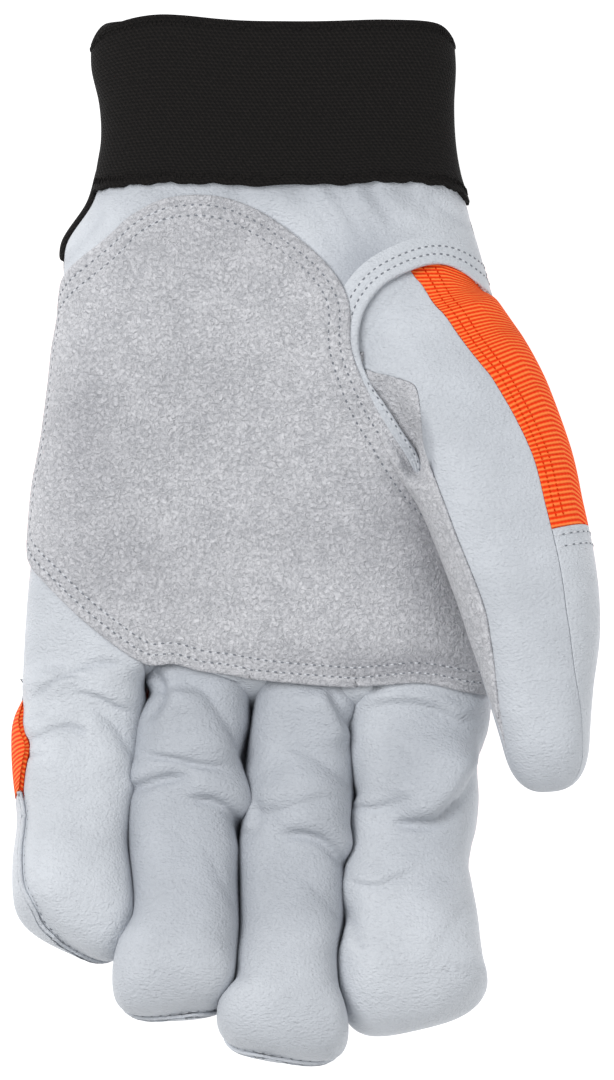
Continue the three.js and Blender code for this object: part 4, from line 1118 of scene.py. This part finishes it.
nets = []
for i, name in enumerate(NAMES):
    shares = across_shares(i, (i == 0, i == 3), 0.6)
    strip = hand_strip("palm", i, HAND_ROWS, shares)
    if name in ("little", "index"):
        y = finger_rows(name, CROTCH, whole=True, step=FRONT_STEP)
        below = finger_half("palm", name, y, shares)
        below[0] = strip[-1]
        strip = np.concatenate([strip, below[1:]])
    nets.append(net(strip))
palm = sew(*nets)
palm = roll_over(palm, ROLLS["little"] + ROLLS["index"])
palm = press(palm, FOLDS["palm"] + FOLDS["little"] + FOLDS["index"])
# The faces inside the opening are cut out, but not those that wrap down to the side seam.
middle = palm["points"][palm["faces"]].mean(axis=1)
cut = inside(middle[:, :2], OPENING) & (middle[:, 2] > 13)
turned = turn_edges(palm, TURN)
palm = {**turned, "faces": palm["faces"][~cut], "uv": palm["uv"][~cut]}
# Painted shade on the index front, beside the thumb's opening and under the cuff: x, y, reach across,
# reach along and how much.
PAINTED_SHADE_SPOTS = [(26, -52, 16, 24, 0.36), (26, -78, 12, 12, 0.14), (14, 62, 10, 14, 0.6), (-10, 82, 50, 4, 0.3)]
palm["mark"] = np.maximum(palm["mark"], areas(palm, PAINTED_SHADE_SPOTS))
put("palm_leather_front", palm, *GRAIN, ["palm_leather"], wall=LEATHER)

# %% Webs between the fingers
# A small saddle of leather closes each crotch from finger to finger. It starts close under the patch's edge
# and drops between the fingers.
WEBS = {"little_ring": -25.5, "ring_middle": -31, "middle_index": -34.2}
for share, (name, edge) in zip(SHARES[1:-1], WEBS.items()):
    u, v = np.linspace(-1, 1, 15)[None, :], np.linspace(0, 1, 41)[:, None]
    y = -22 - 27 * v
    x = ROOT["middle"] + (2 * share - 1) * ROOT["half"] + 4.6 * u
    drop = 2.0 + 16 * ease((edge - y) / 12) ** 1.3
    web = np.stack(np.broadcast_arrays(x, y, ROOT["top"] - drop - 1.4 * u**2), axis=-1)
    put("web_" + name, sew(net(web)), *GRAIN, wall=LEATHER)

# %% The ring and middle fronts
for i, name in ((1, "ring"), (2, "middle")):
    y = finger_rows(name, FRONT_START[name], whole=True, step=FRONT_STEP)
    shares = across_shares(i, (True, True), FRONT_STEP)
    front = sew(net(finger_half("palm", name, y, shares)))
    front["points"][:, 2] -= 1.3 * ease((front["points"][:, 1] + 40) / 7)
    front = press(roll_over(front, ROLLS[name]), FOLDS[name])
    # Painted shade: the ring and middle fronts are darkened all over, more towards their roots.
    painted_root_shade = 0.1 + 0.28 * ease((front["points"][:, 1] + 105) / 25)
    front["mark"] = np.maximum(front["mark"], painted_root_shade)
    front = turn_edges(front, TURN)
    put(name + "_front_leather", front, *GRAIN, [name + "_front"], wall=LEATHER)

# %% [markdown]
# ## The suede patch
# The patch is a second layer sewn flat over the palm with two rows of stitches. It has one closed outline,
# so it is made as rings round a middle point, like a drum skin: each ring is the outline drawn in towards
# the middle. The places are measured along the palm's girth, not from above, so the left side can wrap
# round the hand.


# %% The girth of the palm, and back again
# The two tables have a row for each mm along the glove. One of them has a column for each 0.25 mm of girth.
GIRTH_Y = np.arange(-45.0, 95.0, 1.0)
GIRTH_STEP = 0.25
GIRTH = np.arange(-80.0, 80.0, GIRTH_STEP)


def girth_tables():
    """For each y, the distance along the palm from its middle for many spreads, and the other way round."""
    spread = np.sin(np.linspace(-np.pi / 2, np.pi / 2, 901))
    walk, back = [], []
    for y in GIRTH_Y:
        p = hand_point("palm", spread, y, 0.0)
        length = walked_along(p)
        length -= np.interp(0, spread, length)
        walk.append(length)
        back.append(np.interp(GIRTH, length, spread))
    return spread, np.array(walk), np.array(back)


SPREADS, WALK, SPREAD_AT = girth_tables()


def spread_at(girth, y):
    """The spread at a distance along the palm, mixed from the four nearest values of the table."""
    r = np.clip((y - GIRTH_Y[0]), 0, len(GIRTH_Y) - 1.001)
    c = np.clip((girth - GIRTH[0]) / GIRTH_STEP, 0, len(GIRTH) - 1.001)
    i, j = r.astype(int), c.astype(int)
    a, b = r - i, c - j
    upper = SPREAD_AT[i, j] * (1 - b) + SPREAD_AT[i, j + 1] * b
    lower = SPREAD_AT[i + 1, j] * (1 - b) + SPREAD_AT[i + 1, j + 1] * b
    return upper * (1 - a) + lower * a


def girth_of(x, y):
    """The distance along the palm of a place seen from above. Past the outline it is the side seam's."""
    hand = hand_at(y)
    spread = np.clip((x - hand["middle"]) / hand["half"], -1, 1)
    row = int(np.clip(round(float(y - GIRTH_Y[0])), 0, len(GIRTH_Y) - 1))
    return float(np.interp(spread, SPREADS, WALK[row]))


# %% The patch as rings
PATCH = [
    (-32.5, 80.2), (-20.6, 80.6), (-9, 76), (2.5, 67), (9.4, 57.5), (10.3, 47), (12.6, 39), (16, 32.4),
    (19.8, 26), (24, 18.8), (28, 11.6), (33.6, 3), (39, -12), (43, -28), (43.4, -36), (38, -36.1),
    (33, -35), (29, -34.2), (24.6, -33.9), (19, -34.4), (10.7, -34.8), (0, -34.2), (-10, -33.2),
    (-18, -31.8), (-25, -30.9), (-31, -29.2), (-38.6, -28.8), (-50.6, -20.4), (-60.6, -10.6), (-65.6, 0),
    (-72, 14), (-72, 36), (-62.4, 50), (-57.4, 57), (-48.4, 69.4), (-41, 76),
]
PATCH_MIDDLE = np.array([-14.0, 20.0])
outline = smooth_line([(girth_of(x, y), y) for x, y in PATCH], closed=True, step=0.4)[:-1]
ray = outline - PATCH_MIDDLE
angle = np.unwrap(np.arctan2(ray[:, 1], ray[:, 0]))
order = np.argsort(angle)
round_it = np.linspace(0, 2 * np.pi, 481)[:-1] + angle.min()
radius = np.interp(round_it, angle[order], np.linalg.norm(ray, axis=1)[order])
rim = PATCH_MIDDLE + radius[:, None] * np.stack([np.cos(round_it), np.sin(round_it)], axis=1)


def rim_inset(distance):
    """The patch's outline drawn in by a distance, square to itself."""
    step = np.roll(rim, -1, axis=0) - np.roll(rim, 1, axis=0)
    inward = unit(np.stack([-step[:, 1], step[:, 0]], axis=1))
    inward *= np.sign(np.sum(inward * (PATCH_MIDDLE - rim), axis=1).mean())
    return rim + inward * distance


# How much of the shape of the fingers' roots shows in the patch.
PATCH_WEB = 0.15


def on_patch(places, lift, limit):
    """Points over places (girth, y), raised by the lift, with the way that the palm faces. Where a finger's
    root stands above the slab they rise as much, so that none comes through."""
    y = places[..., 1]
    spread = np.clip(spread_at(places[..., 0], y), -limit, limit)
    points, facing = raise_palm(spread, y, lift, PATCH_WEB)
    root = hand_point("palm", spread, y)[..., 2] - hand_point("palm", spread, y, PATCH_WEB)[..., 2]
    points[..., 2] += np.maximum(root, 0)
    return points, facing


# The patch's rounded edge: how far in from the outline, and how high.
PATCH_EDGE = [(0.1, -0.3), (0.0, 0.35), (0.02, 0.8), (0.16, 1.1), (0.45, 1.3), (0.9, 1.38)]
# The two rows of stitches, in mm from the outline. They pull the suede down, a little more at each stitch.
PATCH_ROWS = (2.5, 5.0)
shrink = np.linspace(1, 0, 96)[1:]
inner = rim_inset(1.0)
rings = [rim_inset(d) for d, _ in PATCH_EDGE] + [PATCH_MIDDLE + (inner - PATCH_MIDDLE) * s for s in shrink]
rings = np.array(rings)
rings = np.concatenate([rings, rings[:, :1]], axis=1)
heights = np.array([h for _, h in PATCH_EDGE] + [SUEDE] * len(shrink))
flat = rings.reshape(-1, 2)
depth = reach(flat, np.concatenate([rim, rim[:1]]))[0].reshape(rings.shape[:2])
along_rim = np.linspace(0, 1, rings.shape[1]) * 2 * np.pi
pucker = 0.1 * np.cos(along_rim * 210)[None, :]
rows_of_stitches = sum((0.34 + pucker) * bell(depth - d, 0.55) for d in PATCH_ROWS)
soft = 0.16 * np.sin(rings[..., 0] / 7.3 + 1.0) * np.sin(rings[..., 1] / 9.1) * ease(depth / 8)
lift = heights[:, None] - rows_of_stitches * (heights[:, None] > 1.2) + soft
points = on_patch(rings, lift, 0.9999)[0]
patch = sew(net(points[:, ::-1], uv=rings[:, ::-1]))
# Painted shade with some nap tone on the patch, where it lies darker in the light: x, y, reach across,
# reach along and how dark.
PATCH_SHADE_AND_NAP = [
    (31, -6, 9, 26, 0.44), (22, 4, 16, 14, 0.26), (-52, 24, 9, 20, 0.4), (-44, -6, 16, 10, 0.28),
    (8, -29, 26, 5, 0.3), (0, 2, 14, 9, 0.16), (-28, 34, 9, 14, 0.1), (-14, 72, 34, 12, 0.2),
    (25, -30, 15, 3, 0.4),
]
patch["mark"] = areas(patch, PATCH_SHADE_AND_NAP)
put("palm_patch_suede", patch, *SPLIT, ["palm_patch"])
for inset in PATCH_ROWS:
    row = rim_inset(inset)
    line, facing = on_patch(np.concatenate([row, row[:1]]), 1.2, 0.999)
    stitch(line, facing, pitch=1.9, thick=0.45, hole=0.85, raised=0.06)

# %% [markdown]
# ## The lip of the thumb's opening
# The palm leather is cut open for the thumb, its edge is turned under and held with two rows of stitches.
# The lip is a band carried along the cut: across it runs a rolled edge, then a shallow pillow between the
# stitch rows, then a slope that sinks into the palm.

# %% The lip
LIP = smooth_line(
    [
        (27.6, 8.5), (27, 14.5), (26, 19.6), (22, 25.9), (18.4, 31.5), (15.2, 36.2), (12.9, 41),
        (11.9, 45.5), (12.1, 50.2), (14, 55.4), (18.2, 60.3), (25.2, 63.9), (31, 65.1), (36, 63.7),
        (41.7, 59.6), (44.8, 56.6), (47.6, 52.5),
    ],
    step=0.5,
)
# Across the lip: how far out from the cut, and how high.
LIP_PROFILE = [
    (-0.2, -1.1), (-0.45, -0.5), (-0.42, 0.1), (-0.2, 0.5), (0.1, 0.7), (0.5, 0.78), (1, 0.76), (1.5, 0.6),
    (2, 0.36), (2.5, 0.56), (3, 0.62), (3.5, 0.5), (3.9, 0.3), (4.3, 0.42), (4.9, 0.38), (5.7, 0.22),
    (6.6, 0), (7.6, -0.25),
]


def lip_side(line):
    """The way out from the opening at each point of the lip's line, square to it."""
    step = np.gradient(line, axis=0)
    return unit(np.stack([-step[:, 1], step[:, 0]], axis=1))


side = lip_side(LIP)
profile = np.array(LIP_PROFILE)
run = np.linspace(0, 1, len(LIP))
widening = ease((run - 0.3) / 0.16) * ease((1 - run) / 0.1 + 0.1)
# The welt below is widest half way along it.
narrow = np.maximum(0.14 + 0.3 * np.sin(np.pi * np.clip(run / 0.4, 0, 1)), 0.24 + 0.76 * widening)
places = LIP[:, None] + side[:, None] * (profile[None, :, :1] * narrow[:, None, None])
points = on_palm(places.reshape(-1, 2))[0].reshape(*places.shape[:2], 3)
above_patch = 1.0 * ease((0.42 - run) / 0.14) - 3.4 * ease((0.09 - run) / 0.09)
points[..., 2] += profile[None, :, 1] * (0.6 + 0.4 * widening[:, None]) + above_patch[:, None]
put("thumb_opening_lip", sew(net(points)), *GRAIN)
for inset in (2.0, 3.9):
    # The stitches leave out the narrow welt at the start of the line and the last 7 mm.
    row = (LIP + side * inset)[70:-14]
    line, facing = on_palm(row)
    line[:, 2] += np.interp(inset, profile[:, 0], profile[:, 1])
    stitch(line, facing, pitch=1.7, thick=0.5, hole=0.9, raised=0.05)
welt = slice(8, 66)
stitch(points[welt, 6], on_palm(points[welt, 6, :2])[1], pitch=2.0, thick=0.4, hole=0.7, raised=0.02)

# %% [markdown]
# ## The thumb
# The thumb is a tube of four pieces: white leather in front, orange fabric behind, a white cap over the
# tip, and a suede gusset on the side towards the palm, where a tool rubs. Each piece is the part of one
# tube between two seams, and the seams are angles that change along the thumb.

# %% The thumb's pieces
# The length over which the thumb's tip closes, where its cap starts, and how deep its root may lie in mm.
THUMB_LENGTH = 12.0
THUMB_CAP_START = -1.8
CLEARANCE = 1.5
THUMB_TUBE = (THUMB, THUMB_TIP, THUMB_LENGTH)


def thumb_rows(start, end=None):
    """Places down the thumb, closer together where the seams turn sharply and at the tip."""
    places = [spaced(start, 44, STEP, (True, False)), np.linspace(44, 35, 31)] if start > 44 else []
    start = min(start, 35.0)
    if end is not None:
        places.append(spaced(start, end, STEP, (start < 35, True)))
    else:
        places.append(spaced(start, THUMB_TIP + THUMB_LENGTH, STEP, (start < 35, False)))
        places.append(THUMB_TIP + THUMB_LENGTH * (1 - np.sin(np.linspace(0, np.pi / 2, 18))))
    return -np.unique(-np.concatenate(places))


def thumb_piece(first, last, count, start, end=None):
    """The thumb's tube between two of its seams, from one place down it to another, or to its tip."""
    y = thumb_rows(start, end)
    seams = at(THUMB_SEAMS, y)
    low, high = seams[first][:, None], seams[last][:, None] + 360 * (last == "under")
    t = np.linspace(0, 1, 121)[None, :]
    dense = tube_point(*THUMB_TUBE, y[:, None], np.radians(low * (1 - t) + high * t))
    return sew(net(even(dense, spaced(0, count * STEP, STEP) / (count * STEP))))


def under_palm(sheet):
    """The thumb's root lies against the palm round the opening: there its height is at least the palm's
    less the clearance, blended softly, and the lift dies away down the thumb."""
    p = sheet["points"]
    palm_height = on_palm(p[:, :2])[0][:, 2]
    short = np.maximum(palm_height - CLEARANCE - p[:, 2], 0)
    near = ease((p[:, 1] - 35.5) / 5) * ease((30 - p[:, 0]) / 12)
    lifted = p.copy()
    lifted[:, 2] += short * near
    # Beside the welt below, the gusset stays lower than the palm's edge and rises away from it.
    d = reach(p[:, :2], LIP[:60])[0]
    most = palm_height - 0.7 + 0.55 * d
    beside = ease((p[:, 1] - 12) / 5) * ease((42 - p[:, 1]) / 5) * ease((30.5 - p[:, 0]) / 5)
    lifted[:, 2] -= np.maximum(lifted[:, 2] - most, 0) * beside * ease((8 - d) / 6)
    return {**sheet, "points": lifted}


front = thumb_piece("inner", "outer", 40, 66.0)
front = turn_edges(press(under_palm(front), FOLDS["thumb"]), TURN)
# Painted shade: the whole thumb front is darkened a little.
front["mark"] = np.maximum(front["mark"], 0.13)
put("thumb_front_leather", front, *GRAIN, ["thumb_front"], wall=LEATHER)

back = thumb_piece("outer", "under", 84, 66.0, THUMB_CAP_START)
# The ribs bend down behind a line 9 mm from the seam.
back["uv"][..., 1] -= 0.4 * np.maximum(back["uv"][..., 0] - 9, 0)
put("thumb_back_fabric", turn_edges(back, TURN), *KNIT, ["thumb_back"], wall=FABRIC)

cap = thumb_piece("outer", "under", 76, THUMB_CAP_START)
put("thumb_cap_leather", turn_edges(cap, TURN), *GRAIN, ["thumb_cap"], wall=LEATHER)

gusset = under_palm(thumb_piece("under", "inner", 38, 50.0, -49.0))
put("thumb_crotch_suede", turn_edges(gusset, TURN), *SPLIT, ["thumb_crotch"], wall=SUEDE)

# %% The stitches of the thumb
y = np.linspace(62, THUMB_CAP_START + 2, 150)
outer = at(THUMB_SEAMS, y)["outer"]
radius_mm = at(THUMB, y)["half"]
orange_rows = []
for inset in (2.0, 4.4):
    line, facing = on_tube(*THUMB_TUBE, y, outer + np.degrees(inset / radius_mm))
    orange_rows.append(beads(line + 0.1 * facing, facing, 1.15, (0.8, 0.45, 0.24)))
put("thumb_fabric_stitches", sew(*orange_rows), orange_thread, "orange_fabric")
around = np.linspace(float(at(THUMB_SEAMS, THUMB_CAP_START)["outer"]) + 5, 225, 90)
cap_rows(THUMB_TUBE, THUMB_CAP_START, around, 2.2)
# The gusset meets the front in a flat felled seam, which stands out as a strip between two dark lines.
y = np.linspace(24, -41, 200)
inner = at(THUMB_SEAMS, y)["inner"]
radius_mm = at(THUMB, y)["half"]
line, facing = on_tube(*THUMB_TUBE, y, inner - np.degrees(1.3 / radius_mm), 0.1)
put("thumb_felled_seam", piping(line, facing, 1.9, 1.0), *SPLIT)

# %% [markdown]
# ## The back of the hand and the fingers
# The back is black stretch at the wrist, orange ribbed fabric over the hand and the joints, a leather strap
# across the knuckles and a leather cap on each fingertip. The strips and half tubes are the front's.

# %% The back of the hand
# The leather on the back turns in further at its seams, in mm, so that no cut edge shows beside the fronts.
BACK_TURN = 0.9


def back_strip(start, end):
    """The back of the hand between two places, as four strips to be sewn side by side."""
    y = spaced(start, end, STEP)
    return [net(hand_strip("back", i, y, across_shares(i, (i == 0, i == 3)))[:, ::-1]) for i in range(4)]


wrist = turn_edges(sew(*back_strip(84.0, 62.0)), TURN)
put("wrist_back_fabric", wrist, *BLACK, ["wrist_back"], wall=FABRIC)
hand = turn_edges(sew(*back_strip(62.0, -11.0)), TURN)
put("hand_back_fabric", hand, *KNIT, ["hand_back"], wall=FABRIC)


def draw_in(points):
    """Leather at the little finger's root, drawn in towards the palm's outline, less and less down it."""
    points = np.array(points)
    x, y = points[..., 0], points[..., 1]
    points[..., 0] += 1.9 * (1 - ease((-35 - y) / 7)) * ease((-58 - x) / 7) * (y < CROTCH + 1e-6)
    return points


nets = []
for i, name in enumerate(NAMES):
    shares = across_shares(i, (i == 0, i == 3))
    y = np.concatenate([spaced(-11.0, -26, STEP, (True, False)), np.linspace(-26, CROTCH, 16)[1:]])
    strip = hand_strip("back", i, y, shares)
    below = draw_in(finger_half("back", name, spaced(CROTCH, -39, STEP, (False, True)), shares)[:, ::-1])
    below[0] = strip[-1]
    nets.append(net(np.concatenate([strip, below[1:]])[:, ::-1]))
strap = turn_edges(sew(*nets), BACK_TURN)
put("knuckle_strap_leather", strap, *GRAIN, ["knuckle_strap"], wall=LEATHER)

# %% The backs and the caps of the fingers
for i, name in enumerate(NAMES):
    shares = across_shares(i, (True, True))
    cap_start = CAPS[name]
    y = spaced(-39, cap_start, STEP)
    piece = turn_edges(sew(net(draw_in(finger_half("back", name, y, shares)))), TURN)
    put(name + "_back_fabric", piece, *KNIT, [name + "_back"], wall=FABRIC)
    y = finger_rows(name, cap_start)
    piece = turn_edges(sew(net(finger_half("back", name, y, shares))), BACK_TURN)
    put(name + "_cap_leather", piece, *GRAIN, [name + "_cap"], wall=LEATHER)
    cap_rows((TUBES[name], TIPS[name], TIP_LENGTH), cap_start, np.linspace(122, 240, 100), 2.4)

# %% The seam edges at the fingertips
# Where a finger's front meets its back, a cord of leather fills the seam and a row of needle holes runs
# beside it. The cord starts at these places on the two sides and runs round the tip from one to the other.
SEAM_STARTS = {"little": (-60.5, -84), "ring": (-99, -103), "middle": (-110, -112)}
for name, (low_start, high_start) in SEAM_STARTS.items():
    y = finger_rows(name, CROTCH)
    edge = finger_half("palm", name, y, np.array([0.0, 1.0]))
    line = smooth_line(np.concatenate([edge[y < low_start, 0], edge[y < high_start, 1][-2::-1]]), step=0.5)
    row = at(TUBES[name], np.maximum(line[:, 1], TIPS[name] + TIP_LENGTH * 0.6))
    centre = np.stack([row["x"], np.maximum(line[:, 1], TIPS[name] + TIP_LENGTH), row["z"]], axis=1)
    facing = unit(line - centre)
    out = unit(np.cross(np.gradient(line, axis=0), facing))
    cord = piping(line + 0.5 * out - 0.5 * facing, facing, 1.7, 1.1)
    put(name + "_seam_welt", cord, *GRAIN)
    stitch(line - 0.45 * out, facing, pitch=2.3, thick=0.32, hole=0.6)

# %% [markdown]
# ## The cuff
# The cuff is one band of woven elastic all the way round the wrist, with its mouth turned in and stitched.
# It is a tube whose section is a superellipse, and its two edges wander from straight by a few mm.

# %% The cuff
# Its mouth and its hem, the power of its section, and its sizes at places between them.
MOUTH_Y, HEM_Y = 122, 82
CUFF_POWER = 2.9
CUFF = table(
    "y left right low top",
    (122, -50.8, 34.8, 0.6, 25.8), (114, -50.6, 35.2, 0.4, 26.2), (104, -48.8, 34.8, 0.4, 26.4),
    (95, -48.4, 35.2, 0.2, 26.6), (88, -49.4, 36.4, 0, 26.8), (82, -50.4, 38.4, 0, 27.2),
)
# How far each edge lies from straight, for the angle round the cuff.
CUFF_EDGES = table(
    "at mouth hem",
    (-180, 0, -1), (-120, 0, -0.6), (-90, -5.4, 0), (-60, -1.4, 0.8), (-30, 1.4, 1.8), (0, -0.2, 1.2),
    (30, 0.2, 2), (60, -0.6, 0.8), (90, -4.6, -2.6), (120, -0.6, -2.6), (180, 0, -1),
)


def cuff_point(y, turn, inset=0.0):
    """The cuff at y and an angle round it: a superellipse whose ends are moved by the edge table."""
    line = at(CUFF, y)
    up = (y - HEM_Y) / (MOUTH_Y - HEM_Y)
    edges = at(CUFF_EDGES, turn)
    lumps = 0.22 * np.sin(turn / 2.7) + 0.16 * np.sin(turn / 1.13 + 1)
    shift = up**2 * edges["mouth"] + (1 - up) ** 2 * edges["hem"] + (1 - up) ** 8 * lumps
    a = np.radians(turn)
    half = (line["right"] - line["left"]) / 2 - inset
    tall = (line["top"] - line["low"]) / 2 - inset
    x = (line["right"] + line["left"]) / 2 + half * power(np.sin(a), 2 / CUFF_POWER)
    z = (line["top"] + line["low"]) / 2 + tall * power(np.cos(a), 2 / CUFF_POWER)
    return np.stack(np.broadcast_arrays(x, y + shift, z), axis=-1)


turn = np.linspace(-180, 180, 1441)[None, :]
# The wall turns in at the hem, comes back inside and closes at the mouth.
outside = cuff_point(spaced(MOUTH_Y, HEM_Y, 0.8)[:, None], turn)
lining = cuff_point(spaced(HEM_Y, MOUTH_Y, 1.6)[:, None], turn, ELASTIC)
dense = np.concatenate([outside, lining, cuff_point(np.full((1, 1), float(MOUTH_Y)), turn)])
cuff = sew(net(even(dense, np.linspace(0, 1, 301))))
put("cuff_elastic", cuff, *BLACK, ["cuff"])
# A zigzag row of black thread holds each hem, and the black back peeps out beside the palm under the cuff.
turn = np.linspace(-178, 178, 1400)
hems = []
for place, swing in ((84.2, 0.5), (120.4, 0.4)):
    line = cuff_point(place + swing * np.sign(np.sin(turn * 1.6)), turn, -0.1)
    outward = cuff_point(place, turn, -1.0) - cuff_point(place, turn)
    hems.append(beads(line, outward, 1.5, (1.25, 0.4, 0.34)))
put("cuff_hem_thread", sew(*hems), *BLACK)
y = np.linspace(88, 65.5, 60)
side_x = at(HAND, y)["left"]
line = np.column_stack([side_x - 0.5 * ease((y - 65) / 6), y, SEAM_SHARE * at(HAND, y)["top"]])
put("wrist_back_edge", piping(line, np.tile([-1.0, 0, 0.3], (60, 1)), 3.0, 2.0), *BLACK)

# %% [markdown]
# ## The thread
# All the rows of stitches are joined into two pieces, one of thread and one of painted shade for the
# needle holes.

# %% Thread and holes as two pieces
put("seam_thread", sew(*THREADS), thread, "grain_leather")
put("needle_hole_shade", sew(*HOLE_SHADE_BEADS), holes, "grain_leather")

# %% [markdown]
# ## The floor, the light and the camera
# The photograph is a shadowless product shot from straight above on white. A light table, a pale world and
# two square softboxes give that, the stronger at the left. A long lens keeps the tips in proportion.

# %% The floor
floor_mesh = bpy.data.meshes.new("floor")
floor_mesh.from_pydata([(-2, -2, 0), (2, -2, 0), (2, 2, 0), (-2, 2, 0)], [], [(0, 1, 2, 3)])
table_top, tree, shader = finish("opal acrylic light table", Roughness=0.9, Emission_Strength=0.92)
shader.inputs["Base Color"].default_value = linear("#a8a8a8")
shader.inputs["Emission Color"].default_value = (1.0, 1.0, 1.0, 1.0)
floor_mesh.materials.append(table_top)
floor = new_object("floor", floor_mesh)

# %% The light
world = bpy.data.worlds.new("studio")
bpy.context.scene.world = world
world.use_nodes = True
world.node_tree.nodes["Background"].inputs[0].default_value = (0.97, 0.985, 1.0, 1.0)
world.node_tree.nodes["Background"].inputs[1].default_value = 0.38


def lamp(name, place, aim, size, power_w):
    """A square area lamp that faces a point."""
    data = bpy.data.lights.new(name, "AREA")
    data.size = size
    data.energy = power_w
    item = new_object(name, data)
    item.location = place
    item.rotation_euler = (Vector(aim) - Vector(place)).to_track_quat("-Z", "Y").to_euler()


lamp("left softbox", (-0.75, 0.45, 1.15), (0, 0, 0.02), 0.8, 15.6)
lamp("right fill", (0.9, -0.2, 1.0), (0, 0, 0.02), 0.8, 5.0)

# %% The camera
# The height of what the picture takes in, how far its middle is off the glove's, and the sensor, in mm.
PHOTO_HEIGHT_MM = 253.8
OFF_X_MM = 0.12
SENSOR_MM = 36
# The heights of the camera and of the palm, in metres.
CAMERA_HEIGHT = 4.0
PALM_HEIGHT = 0.02
camera_data = bpy.data.cameras.new("camera")
camera_data.lens = SENSOR_MM * (CAMERA_HEIGHT - PALM_HEIGHT) / (PHOTO_HEIGHT_MM * MM)
camera_data.sensor_width = SENSOR_MM
camera = new_object("camera", camera_data)
camera.location = ((OFF_X_MM + SHIFT[0]) * MM, SHIFT[1] * MM, CAMERA_HEIGHT)
bpy.context.scene.camera = camera
bpy.context.scene.view_settings.view_transform = "Standard"
